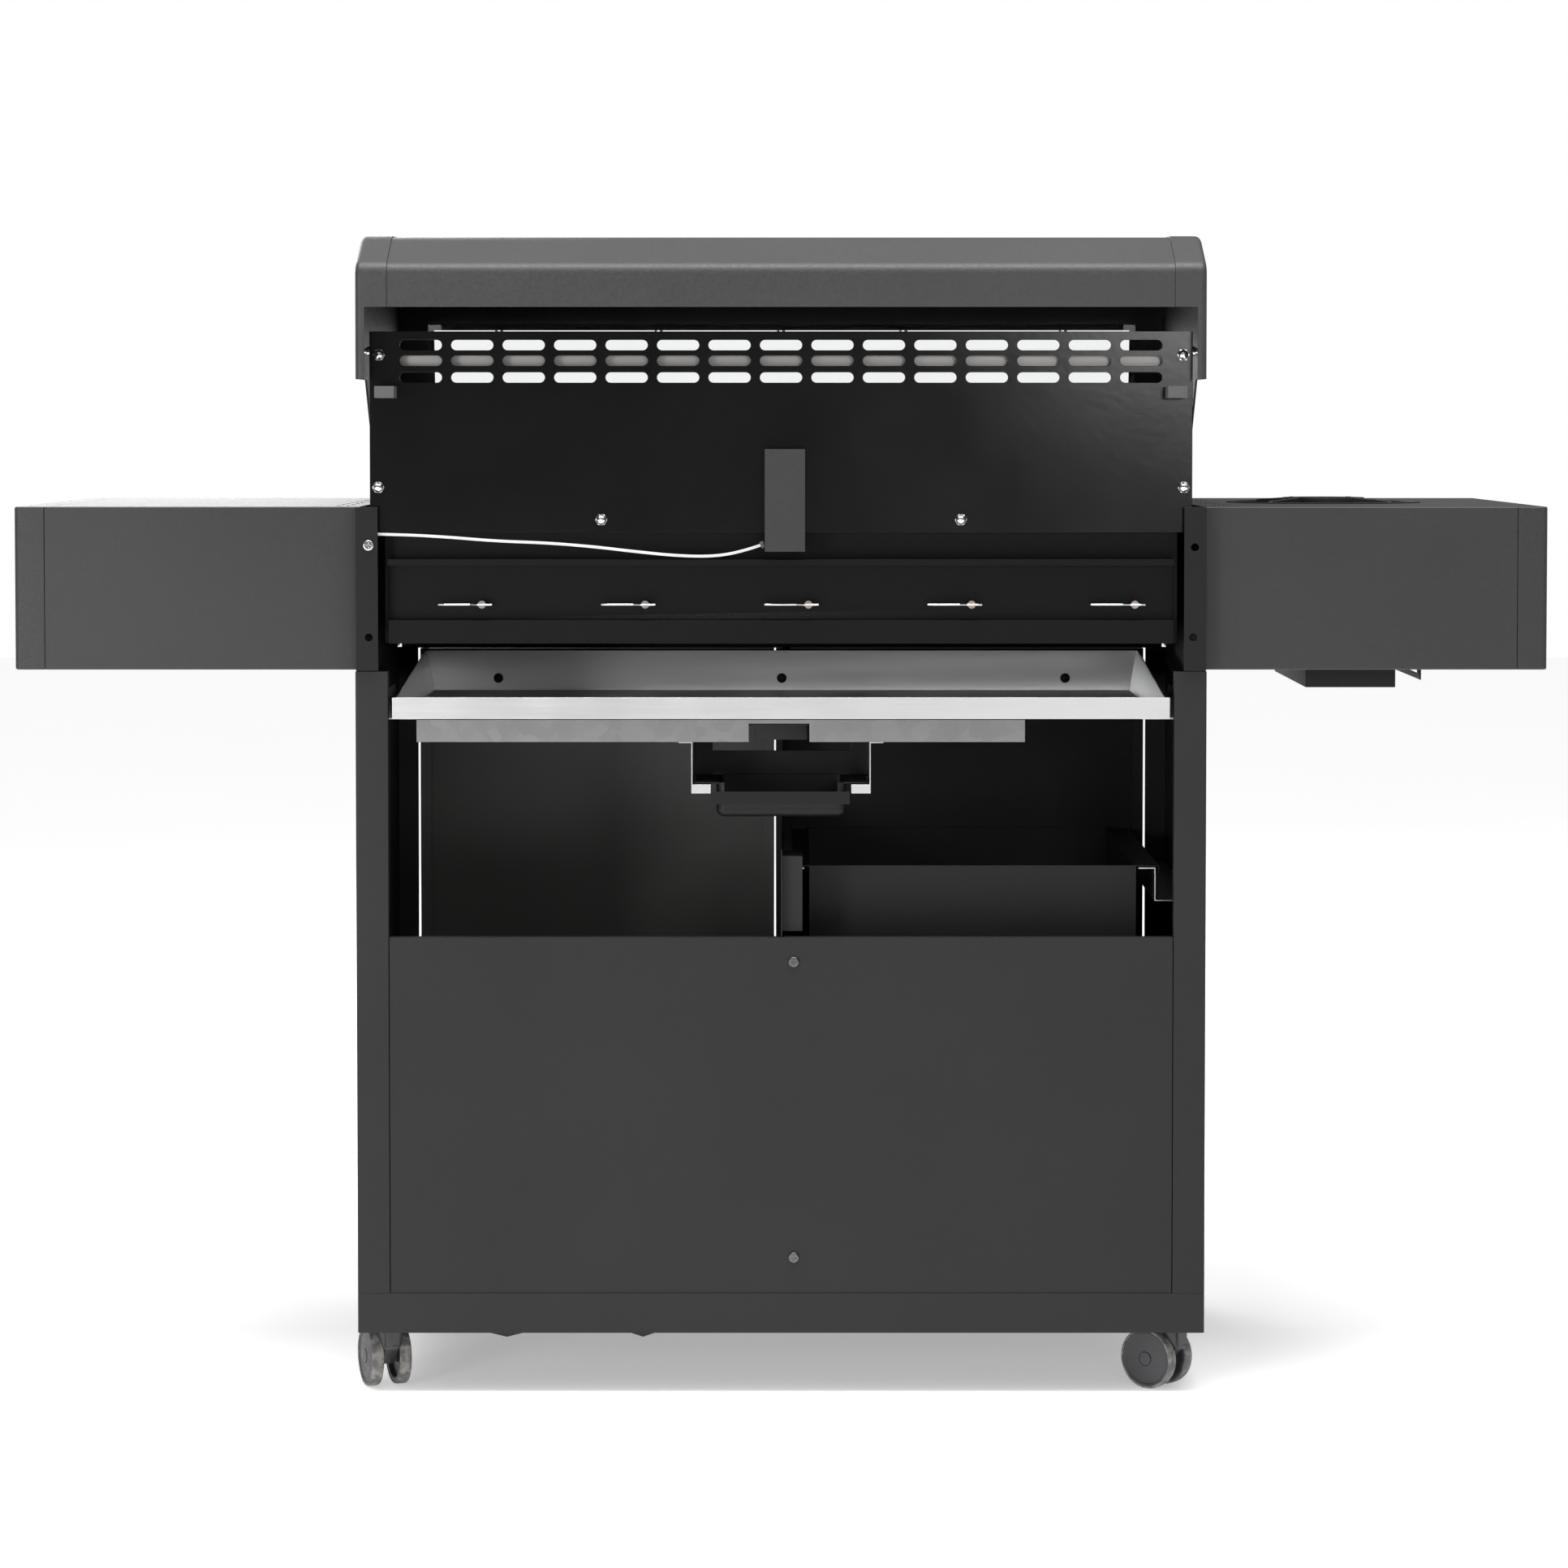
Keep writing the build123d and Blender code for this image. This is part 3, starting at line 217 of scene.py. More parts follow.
def rolled_steel(name, colour, roughness=0.32, along=0, strength=0.25):
    material, tree, shader, place = blank_material(name)
    stretch = [STREAK_ACROSS] * 3
    stretch[along] = STREAK_ALONG
    streaks = noise(tree, place, 1.0, 2.0, stretch)
    blotches = noise(tree, place, 14.0, 4.0)
    darker = tuple(c * 0.95 for c in colour)
    lighter = tuple(min(1.0, c * 1.05) for c in colour)
    tree.links.new(tint(tree, streaks, darker, lighter), shader.inputs["Base Color"])
    rough = shade(tree, "ShaderNodeMath", {0: spread(tree, streaks, roughness - 0.03, roughness + 0.03),
                                          1: spread(tree, blotches, -0.02, 0.03)}, operation="ADD").outputs[0]
    tree.links.new(rough, shader.inputs["Roughness"])
    tree.links.new(bump(tree, streaks, strength, 0.00003), shader.inputs["Normal"])
    shader.inputs["Metallic"].default_value = 1.0
    return material


def zinc_plate(name):
    material, tree, shader, place = blank_material(name)
    crystals = shade(tree, "ShaderNodeTexVoronoi", {"Vector": place, "Scale": 85.0})
    flakes = shade(tree, "ShaderNodeSeparateColor", {"Color": crystals.outputs["Color"]}).outputs["Red"]
    grain = noise(tree, place, 700.0, 2.0)
    tree.links.new(tint(tree, flakes, (0.215, 0.213, 0.212), (0.25, 0.248, 0.246)), shader.inputs["Base Color"])
    tree.links.new(spread(tree, flakes, 0.46, 0.52, (0.0, 1.0)), shader.inputs["Roughness"])
    tree.links.new(bump(tree, grain, 0.2, 0.0002), shader.inputs["Normal"])
    shader.inputs["Metallic"].default_value = 0.85
    return material


def polished_chrome(name):
    material, tree, shader, place = blank_material(name)
    smears = noise(tree, place, 60.0, 4.0)
    tree.links.new(tint(tree, smears, (0.62, 0.62, 0.63), (0.82, 0.82, 0.83)), shader.inputs["Base Color"])
    tree.links.new(spread(tree, smears, 0.07, 0.2), shader.inputs["Roughness"])
    shader.inputs["Metallic"].default_value = 1.0
    return material


def fired_steel(name):
    """Stainless steel that has been over a flame: straw and violet temper colours in soft patches."""
    material, tree, shader, place = blank_material(name)
    heat = noise(tree, place, 8.0, 3.0)
    streaks = noise(tree, place, 1.0, 2.0, (300.0, 8.0, 300.0))
    tempered = tint(tree, spread(tree, heat, 0.0, 1.0), (0.44, 0.36, 0.24), (0.30, 0.28, 0.34))
    tree.links.new(tempered, shader.inputs["Base Color"])
    tree.links.new(spread(tree, streaks, 0.24, 0.42), shader.inputs["Roughness"])
    tree.links.new(bump(tree, streaks, 0.2, 0.0001), shader.inputs["Normal"])
    shader.inputs["Metallic"].default_value = 1.0
    return material


def cast_iron(name, colour=(0.022, 0.021, 0.020), roughness=0.62):
    material, tree, shader, place = blank_material(name)
    sand = noise(tree, place, 380.0, 4.0)
    oil = noise(tree, place, 12.0, 4.0)
    tree.links.new(tint(tree, oil, tuple(c * 0.7 for c in colour), tuple(c * 1.7 for c in colour)),
                   shader.inputs["Base Color"])
    tree.links.new(spread(tree, oil, roughness - 0.16, roughness + 0.12), shader.inputs["Roughness"])
    tree.links.new(bump(tree, sand, 0.55, 0.0005), shader.inputs["Normal"])
    shader.inputs["Metallic"].default_value = 0.25
    return material


# %% [markdown]
# ## Rubber, plastic, glass and the lead's sleeve
# Moulded plastic and rubber share one recipe with different numbers: a fine eroded texture and uneven shine.
# The worn wheel tread is the same rubber with pale scuffs from a coarser noise.

# %% Soft finishes
def moulded(name, colour, roughness=0.5, texture=0.18, scuffs=0.0, scuff_colour=(0.2, 0.19, 0.18)):
    material, tree, shader, place = blank_material(name)
    fine = noise(tree, place, 900.0, 2.0)
    marks = noise(tree, place, 130.0, 5.0)
    worn = spread(tree, marks, 0.0, scuffs + 0.12, (0.42, 0.62))
    tree.links.new(tint(tree, worn, colour, scuff_colour), shader.inputs["Base Color"])
    tree.links.new(spread(tree, marks, roughness - 0.08, roughness + 0.14), shader.inputs["Roughness"])
    tree.links.new(bump(tree, fine, texture, 0.0003), shader.inputs["Normal"])
    return material


def window_glass(name):
    material, tree, shader, place = blank_material(name)
    film = noise(tree, place, 16.0, 3.0)
    tree.links.new(tint(tree, film, (0.90, 0.92, 0.92), (0.97, 0.98, 0.98)), shader.inputs["Base Color"])
    tree.links.new(spread(tree, film, 0.0, 0.03), shader.inputs["Roughness"])
    shader.inputs["Transmission Weight"].default_value = 1.0
    shader.inputs["IOR"].default_value = 1.45
    return material


# %% [markdown]
# ## One finish for each material slot
# The record says which slot each part uses. This table makes the finish for each slot once.

# %% Finishes
FINISH = {
    "hood_paint": powder_coat("hood_paint", (0.040, 0.0405, 0.0415), 0.42, 0.34),
    "shelf_paint": powder_coat("shelf_paint", (0.029, 0.0292, 0.0305), 0.46, 0.32),
    "cabinet_paint": powder_coat("cabinet_paint", (0.0175, 0.0170, 0.0178), 0.50, 0.16, 900.0, 0.26),
    "black_enamel": enamel("black_enamel", (0.0032, 0.0029, 0.0030), 0.14),
    "black_paint": powder_coat("black_paint", (0.0060, 0.0057, 0.0058), 0.44, 0.12, 900.0, 0.26),
    "heat_paint": powder_coat("heat_paint", (0.0035, 0.0033, 0.0034), 0.46, 0.14, 900.0, 0.15),
    "satin_steel": rolled_steel("satin_steel", (0.66, 0.66, 0.66), 0.33),
    "galvanised": zinc_plate("galvanised"),
    "stainless": fired_steel("stainless"),
    "chrome": polished_chrome("chrome"),
    "cast_iron": cast_iron("cast_iron"),
    "valve_metal": rolled_steel("valve_metal", (0.52, 0.50, 0.46), 0.42, 0, 0.4),
    "rubber": moulded("rubber", (0.085, 0.085, 0.085), 0.6, 0.25, 0.1, (0.13, 0.13, 0.13)),
    "lead_cover": moulded("lead_cover", (0.72, 0.72, 0.70), 0.45, 0.1, 0.05, (0.55, 0.53, 0.50)),
    "window_glass": window_glass("window_glass"),
    "knob_finish": moulded("knob_finish", (0.018, 0.018, 0.019), 0.34, 0.08),
    "caster_plastic": moulded("caster_plastic", (0.030, 0.030, 0.033), 0.42, 0.2, 0.04, (0.08, 0.08, 0.08)),
    "wheel_plastic": moulded("wheel_plastic", (0.040, 0.040, 0.044), 0.45, 0.2, 0.05, (0.10, 0.10, 0.10)),
}
TREAD = moulded("worn_tread", (0.10, 0.097, 0.092), 0.68, 0.5, 0.75, (0.26, 0.25, 0.235))
DIAL_WHITE = moulded("dial_white", (0.74, 0.74, 0.72), 0.4, 0.02, 0.02, (0.6, 0.6, 0.58))
DIAL_RED = moulded("dial_red", (0.45, 0.02, 0.015), 0.4, 0.02, 0.02, (0.4, 0.03, 0.02))
STRIP_STEEL = rolled_steel("strip_steel", (0.34, 0.33, 0.32), 0.40)
# The door's inside gets a grey far lighter than the cabinet paint: painted light and sheen standing for light
# reaching into the cabinet. Its lower roughness is a real gloss.
PAINTED_LIGHT_DOOR_INSIDE = enamel("painted_light_door_inside", (0.115, 0.112, 0.108), 0.34, 0.04)
DARK_ZINC = rolled_steel("dark_zinc", (0.14, 0.135, 0.13), 0.3)
print("finishes:", len(FINISH))

# %% [markdown]
# ## Soft edges on folded sheet
# No real edge is perfectly sharp. Each sheet part is copied, its loose triangles are joined into whole faces,
# and a Bevel of a few tenths of a millimetre goes round its edges. That thin rounded line is what catches
# light along the folds. The original part is then hidden, and the copy stands for it.

# %% Softened copies
SHEET_CREASE = math.radians(32)
SOFTEN_FROM = math.radians(40)
CORNERS = ("rear_right", "rear_left", "front_right", "front_left")


def joined_copy(name):
    """A copy of a frame part with its triangles joined into whole faces."""
    mesh = frame["nodes"][name].data.copy()
    mesh.name = f"{name}_finished"
    shape = bmesh.new()
    shape.from_mesh(mesh)
    bmesh.ops.remove_doubles(shape, verts=shape.verts, dist=2e-6)
    bmesh.ops.dissolve_limit(shape, angle_limit=math.radians(0.6), verts=shape.verts, edges=shape.edges)
    shape.to_mesh(mesh)
    shape.free()
    return mesh


def place_piece(piece, body):
    """Makes a new piece ride on its body."""
    if piece.name not in scene.collection.objects:
        scene.collection.objects.link(piece)
    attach(piece, body)
    return piece


def soften(name, width, material=None):
    """A finished copy of one frame part, with soft edges."""
    mesh = joined_copy(name)
    mesh.materials.clear()
    mesh.materials.append(material or FINISH[SLOT_OF[name]])
    for face in mesh.polygons:
        face.material_index = 0
    mesh.shade_smooth()
    mesh.set_sharp_from_angle(angle=SHEET_CREASE)
    piece = bpy.data.objects.new(f"{name}_finished", mesh)
    edge = piece.modifiers.new("soft edges", "BEVEL")
    edge.width = width
    edge.segments = 2
    edge.limit_method = "ANGLE"
    edge.angle_limit = SOFTEN_FROM
    edge.use_clamp_overlap = False
    edge.harden_normals = True
    place_piece(piece, BODY_OF[name])
    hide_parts(name)
    return piece


SHEET_EDGE = 0.40 * MM
SOLID_EDGE = 0.54 * MM
SHEET_PARTS = ["base_tray", "side_panels", "back_panel", "cabinet_divider", "firebox", "rear_vent_panel",
               "ignition_cover", "shelf_right", "shelf_left", "shelf_brackets", "side_burner_box",
               "control_panel", "slide_rails", "heat_shield", "drain_guides", "cup_rails", "hood_shell",
               "hood_caps", "door", "drawer", "drip_tray", "grease_cup"]
SOLID_PARTS = ["hood_handle", "door_handle", "drawer_handle", "rubber_stops", "gas_manifold", "side_burner"]
for part in SHEET_PARTS:
    soften(part, SHEET_EDGE)
for part in SOLID_PARTS:
    soften(part, SOLID_EDGE)
for corner in CORNERS:
    soften(f"caster_fork_{corner}", 0.5 * MM)
soften("vent_strip", 0.3 * MM, STRIP_STEEL)
soften("fasteners", 0.18 * MM)
soften("hinge_pins", 0.3 * MM)


def second_finish(name, material, belongs):
    """Gives the faces of a finished copy that pass a test a second finish."""
    mesh = bpy.data.objects[f"{name}_finished"].data
    mesh.materials.append(material)
    changed = 0
    for face in mesh.polygons:
        if belongs(face):
            face.material_index = 1
            changed += 1
    print(name, "faces with a second finish:", changed)


LOW_SCREWS = 0.6
second_finish("fasteners", DARK_ZINC, lambda face: face.center.z < LOW_SCREWS)
# Door faces turned to the rear take the lighter grey: painted light on the door's inside.
second_finish("door", PAINTED_LIGHT_DOOR_INSIDE, lambda face: face.normal.y > 0.9)

# %% [markdown]
# ## Parts that keep their frame shape
# Small round parts already have the right form, so they only get their finish.

# %% Finishes on frame parts
for name, node_object in frame["nodes"].items():
    node_object.data.materials.clear()
    node_object.data.materials.append(FINISH[SLOT_OF[name]])
    for face in node_object.data.polygons:
        face.material_index = 0

# %% [markdown]
# ## Two Geometry Nodes trees for everything that repeats
# Bars, wires, ports and dial marks are one small piece repeated. `row_tree` sets a piece along a line and
# `ring_tree` round a circle. Sizes are named inputs, so one tree serves every row on the barbecue.

# %% Row and ring trees
def tree_with_inputs(name, sockets):
    """An empty Geometry Nodes tree with named inputs and a geometry output."""
    tree = bpy.data.node_groups.new(name, "GeometryNodeTree")
    tree.interface.new_socket("Geometry", in_out="OUTPUT", socket_type="NodeSocketGeometry")
    for label, kind in sockets:
        tree.interface.new_socket(label, in_out="INPUT", socket_type=kind)
    return tree, tree.nodes.new("NodeGroupInput"), tree.nodes.new("NodeGroupOutput")


def finish_tree(tree, geometry, material, out):
    """Every tree ends the same way: real geometry, then its finish."""
    real = shade(tree, "GeometryNodeRealizeInstances", {"Geometry": geometry})
    coated = shade(tree, "GeometryNodeSetMaterial", {"Geometry": real.outputs["Geometry"], "Material": material})
    tree.links.new(coated.outputs["Geometry"], out.inputs["Geometry"])


def row_tree():
    tree, given, out = tree_with_inputs("row of pieces", [
        ("Piece", "NodeSocketObject"), ("Count", "NodeSocketInt"), ("Start", "NodeSocketVector"),
        ("Step", "NodeSocketVector"), ("Finish", "NodeSocketMaterial")])
    line = shade(tree, "GeometryNodeMeshLine", {"Count": given.outputs["Count"],
                                               "Start Location": given.outputs["Start"],
                                               "Offset": given.outputs["Step"]})
    source = shade(tree, "GeometryNodeObjectInfo", {"Object": given.outputs["Piece"]})
    copies = shade(tree, "GeometryNodeInstanceOnPoints", {"Points": line.outputs["Mesh"],
                                                         "Instance": source.outputs["Geometry"]})
    finish_tree(tree, copies.outputs["Instances"], given.outputs["Finish"], out)
    return tree


def ring_tree():
    """Pieces round the Y axis, from one angle on, by equal turns."""
    tree, given, out = tree_with_inputs("ring of pieces", [
        ("Piece", "NodeSocketObject"), ("Count", "NodeSocketInt"), ("Centre", "NodeSocketVector"),
        ("First", "NodeSocketFloat"), ("Turn", "NodeSocketFloat"), ("Finish", "NodeSocketMaterial")])
    points = shade(tree, "GeometryNodeMeshLine", {"Count": given.outputs["Count"],
                                                 "Start Location": given.outputs["Centre"],
                                                 "Offset": (0.0, 0.0, 0.0)})
    index = shade(tree, "GeometryNodeInputIndex").outputs["Index"]
    turned = shade(tree, "ShaderNodeMath", {0: index, 1: given.outputs["Turn"], 2: given.outputs["First"]},
                   operation="MULTIPLY_ADD").outputs[0]
    angle = shade(tree, "ShaderNodeCombineXYZ", {"Y": turned}).outputs["Vector"]
    source = shade(tree, "GeometryNodeObjectInfo", {"Object": given.outputs["Piece"]})
    copies = shade(tree, "GeometryNodeInstanceOnPoints", {"Points": points.outputs["Mesh"],
                                                         "Instance": source.outputs["Geometry"],
                                                         "Rotation": angle})
    finish_tree(tree, copies.outputs["Instances"], given.outputs["Finish"], out)
    return tree


ROW = row_tree()
RING = ring_tree()


def grow(tree, name, values):
    """Runs a tree with the named values and returns the result as a plain mesh."""
    host = bpy.data.objects.new(f"{name}_host", bpy.data.meshes.new(f"{name}_host"))
    scene.collection.objects.link(host)
    modifier = host.modifiers.new("nodes", "NODES")
    modifier.node_group = tree
    for item in tree.interface.items_tree:
        if item.in_out == "INPUT" and item.name in values:
            modifier[item.identifier] = values[item.name]
    bpy.context.view_layer.update()
    graph = bpy.context.evaluated_depsgraph_get()
    mesh = bpy.data.meshes.new_from_object(host.evaluated_get(graph))
    mesh.name = name
    bpy.data.objects.remove(host)
    return mesh


# %% [markdown]
# ## Mesh helpers
# Three little makers cover the rest: a rounded block, a round bar, and a shape turned on a lathe. Each
# returns a mesh whose faces point outwards.

# %% Mesh makers
CREASE = math.radians(38)


def mesh_from(shape, name):
    """Turns a working shape into a smooth-shaded mesh with its faces outwards."""
    bmesh.ops.remove_doubles(shape, verts=shape.verts, dist=1e-6)
    bmesh.ops.recalc_face_normals(shape, faces=shape.faces)
    mesh = bpy.data.meshes.new(name)
    shape.to_mesh(mesh)
    shape.free()
    mesh.shade_smooth()
    mesh.set_sharp_from_angle(angle=CREASE)
    return mesh


def rounded_block(name, low, high, radius, segments=2):
    """A block between two corners with rounded edges."""
    shape = bmesh.new()
    low, high = Vector(low), Vector(high)
    size = high - low
    matrix = Matrix.Translation((low + high) / 2) @ Matrix.Diagonal((*size, 1.0))
    bmesh.ops.create_cube(shape, size=1.0, matrix=matrix)
    bmesh.ops.bevel(shape, geom=shape.edges[:], offset=radius, segments=segments, profile=0.5, affect="EDGES")
    return mesh_from(shape, name)


def round_bar(name, start, end, radius, sides=12):
    """A round bar between two points, with closed ends."""
    start, end = Vector(start), Vector(end)
    along = end - start
    turn = Vector((0, 0, 1)).rotation_difference(along).to_matrix().to_4x4()
    shape = bmesh.new()
    bmesh.ops.create_cone(shape, cap_ends=True, segments=sides, radius1=radius, radius2=radius,
                          depth=along.length, matrix=Matrix.Translation((start + end) / 2) @ turn)
    return mesh_from(shape, name)


def lathe(name, profile, centre, axis, steps=64):
    """Turns a profile of (radius, height) points round an axis. Closed if it starts and ends at radius 0
    or on the same point."""
    centre, axis = Vector(centre), Vector(axis).normalized()
    turn = Vector((0, 0, 1)).rotation_difference(axis).to_matrix().to_4x4()
    shape = bmesh.new()
    verts = [shape.verts.new((radius, 0.0, height)) for radius, height in profile]
    edges = [shape.edges.new(pair) for pair in zip(verts, verts[1:])]
    bmesh.ops.spin(shape, geom=verts + edges, cent=(0, 0, 0), axis=(0, 0, 1), angle=2 * math.pi,
                   steps=steps, use_duplicate=False)
    shape.transform(Matrix.Translation(centre) @ turn)
    return mesh_from(shape, name)


def merge(name, meshes, materials=None):
    """One mesh from several, each keeping its own finish."""
    shape = bmesh.new()
    joined = bpy.data.meshes.new(name)
    for number, mesh in enumerate(meshes):
        before = len(shape.faces)
        shape.from_mesh(mesh)
        shape.faces.ensure_lookup_table()
        if materials:
            for face in shape.faces[before:]:
                face.material_index = number
    shape.to_mesh(joined)
    shape.free()
    for material in materials or []:
        joined.materials.append(material)
    joined.shade_smooth()
    joined.set_sharp_from_angle(angle=CREASE)
    return joined


def add_piece(name, mesh, body, stands_for=(), material=None):
    """Puts a finished mesh on its body."""
    if material is not None:
        mesh.materials.clear()
        mesh.materials.append(material)
    piece = bpy.data.objects.new(name, mesh)
    place_piece(piece, body)
    if stands_for:
        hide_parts(*stands_for)
    return piece


def template(name, mesh):
    """A hidden source object for the trees to copy."""
    return bpy.data.objects.new(name, mesh)


# %% [markdown]
# ## Cooking grates
# Each cast grate is a frame with tapered bars. The bars run from front to back, so a row of one bar makes them
# all. A cast bar is narrower below than above, with soft corners.

# %% Cooking grates
def tapered_bar(name, length, top, bottom, height):
    """A cast bar along Y with its top face at z = 0."""
    shape = bmesh.new()
    profile = [(-top / 2, -height * 0.2), (-top / 2 * 0.6, 0.0), (top / 2 * 0.6, 0.0), (top / 2, -height * 0.2),
               (bottom / 2, -height), (-bottom / 2, -height)]
    ends = [[shape.verts.new((x, y, z)) for x, z in profile] for y in (-length / 2, length / 2)]
    count = len(profile)
    for k in range(count):
        shape.faces.new((ends[0][k], ends[0][(k + 1) % count], ends[1][(k + 1) % count], ends[1][k]))
    shape.faces.new(ends[0])
    shape.faces.new(reversed(ends[1]))
    return mesh_from(shape, name)


grate_low, grate_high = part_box("cooking_grates")
grate_height = grate_high.z - grate_low.z
grate_middle_y = (grate_low.y + grate_high.y) / 2
grate_length = grate_high.y - grate_low.y
GRATE_GAP = 1 * MM
grate_width = (grate_high.x - grate_low.x) / 2 - GRATE_GAP
BARS = 22
FRAME_BAR = 10 * MM
bar_step = (grate_width - 2 * FRAME_BAR) / BARS
bar = template("grate_bar", tapered_bar("grate_bar", grate_length - FRAME_BAR, 8 * MM, 5 * MM, grate_height))
grate_meshes = []
for side in (-1, 1):
    inner = side * GRATE_GAP
    outer = side * (grate_width + GRATE_GAP)
    left, right = min(inner, outer), max(inner, outer)
    grate_meshes.append(grow(ROW, "grate_bars", {
        "Piece": bar, "Count": BARS + 1, "Start": (left + FRAME_BAR, grate_middle_y, grate_high.z),
        "Step": (bar_step, 0.0, 0.0), "Finish": FINISH["cast_iron"]}))
    for x in (left, right - FRAME_BAR):
        grate_meshes.append(rounded_block("grate_side", (x, grate_low.y, grate_low.z),
                                          (x + FRAME_BAR, grate_high.y, grate_high.z), 2 * MM))
    for y in (grate_low.y, grate_middle_y - FRAME_BAR / 2, grate_high.y - FRAME_BAR):
        grate_meshes.append(rounded_block("grate_rail", (left, y, grate_low.z),
                                          (right, y + FRAME_BAR, grate_high.z - 0.5 * MM), 2 * MM))
add_piece("cast_grates", merge("cast_grates", grate_meshes), "cabinet", ["cooking_grates"],
          FINISH["cast_iron"])
print("grate bars:", 2 * (BARS + 1))

# %% [markdown]
# ## Warming rack
# The rack over the back of the fire is bent from plated wire: two long rails, many cross wires, and legs.

# %% Warming rack
rack_low, rack_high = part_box("warming_rack")
WIRE = 2 * MM
rack_z = rack_high.z - WIRE
rack_half = rack_high.x - 9 * MM
rack_front, rack_back = rack_low.y + WIRE, rack_high.y - WIRE
wire = template("rack_wire", round_bar("rack_wire", (0, rack_front, 0), (0, rack_back, 0), WIRE * 0.75, 8))
WIRES = 45
WIRE_INSET = 4 * MM
wire_step = 2 * (rack_half - WIRE_INSET) / (WIRES - 1)
rack_meshes = [grow(ROW, "rack_wires", {
    "Piece": wire, "Count": WIRES, "Start": (-rack_half + WIRE_INSET, 0.0, rack_z), "Step": (wire_step, 0.0, 0.0),
    "Finish": FINISH["chrome"]})]
for y in (rack_front, rack_back):
    rack_meshes.append(round_bar("rack_rail", (-rack_half, y, rack_z), (rack_half, y, rack_z), WIRE, 10))
for side in (-1, 1):
    x = side * (rack_half - WIRE)
    hook_y = rack_high.y - 22 * MM
    rack_meshes.append(round_bar("rack_leg", (x, rack_front, rack_low.z), (x, rack_front, rack_z), WIRE, 10))
    rack_meshes.append(round_bar("rack_end", (x, rack_front, rack_z), (x, rack_back, rack_z), WIRE, 10))
    rack_meshes.append(round_bar("rack_hook", (x, hook_y, rack_z),
                                 (side * (rack_high.x - 0.2 * MM), hook_y, rack_z), WIRE, 10))
add_piece("wire_rack", merge("wire_rack", rack_meshes), "cabinet", ["warming_rack"], FINISH["chrome"])

# %% [markdown]
# ## Casters
# A twin-wheel caster has two moulded discs with a dished face, a raised hub cap and a softer tread that greys
# with use. One lathe profile gives the disc and another the tread, turned about the axle that the joint names.

# %% Caster wheels
WHEEL_RADIUS = 31 * MM
WHEEL_WIDTH = 13 * MM
WHEEL_NEAR = 8.5 * MM


def caster_wheel_meshes(centre, axis):
    """The disc and the tread of one wheel; axis points away from the caster's middle."""
    near, far = WHEEL_NEAR, WHEEL_NEAR + WHEEL_WIDTH
    disc = [(3.3 * MM, near + 2 * MM), (9 * MM, near + 2 * MM), (9 * MM, near + 5 * MM), (24.2 * MM, near + 5 * MM),
            (25 * MM, near + 0.6 * MM), (28.4 * MM, near + 0.6 * MM), (28.6 * MM, near + 3 * MM),
            (28.6 * MM, far - 2.4 * MM), (27.6 * MM, far - 1.0 * MM), (26.4 * MM, far - 0.9 * MM),
            (25.6 * MM, far - 1.7 * MM), (13.0 * MM, far - 0.9 * MM), (7.8 * MM, far - 0.7 * MM),
            (7.4 * MM, far - 1.5 * MM), (6.9 * MM, far - 1.5 * MM), (6.6 * MM, far - 0.2 * MM),
            (3.0 * MM, far), (0.0, far), (0.0, far - 1.5 * MM), (3.3 * MM, far - 1.5 * MM),
            (3.3 * MM, near + 2 * MM)]
    tread = [(28.0 * MM, near + 0.3 * MM), (29.6 * MM, near), (30.6 * MM, near + 0.8 * MM),
             (WHEEL_RADIUS, near + 2.6 * MM), (WHEEL_RADIUS, far - 2.8 * MM), (30.6 * MM, far - 1.2 * MM),
             (29.7 * MM, far - 0.4 * MM), (28.4 * MM, far - 0.5 * MM), (28.0 * MM, far - 1.4 * MM),
             (28.0 * MM, near + 0.3 * MM)]
    return lathe("disc", disc, centre, axis, 72), lathe("tread", tread, centre, axis, 72)


for corner in CORNERS:
    joint = JOINTS[f"roll_{corner}"]
    axle = Vector(joint["axis"])
    discs, treads = [], []
    for side in (-1, 1):
        disc, tread = caster_wheel_meshes(joint["pos_m"], axle * side)
        discs.append(disc)
        treads.append(tread)
    wheels = merge("wheels", [merge("discs", discs), merge("treads", treads)],
                   [FINISH["wheel_plastic"], TREAD])
    add_piece(f"twin_wheels_{corner}", wheels, f"caster_wheels_{corner}",
              [f"caster_wheels_{corner}"])

# %% [markdown]
# ## Knobs
# Each knob is a dark skirt with a plated edge, a raised grip bar across its face, and a pale pointer line, so
# the cook can read it. The ring of fine flutes round the skirt is one small rib repeated by the ring tree.

# %% Knobs
KNOBS = ["main_1", "main_2", "main_3", "main_4", "main_5", "side"]
FLUTES = 48


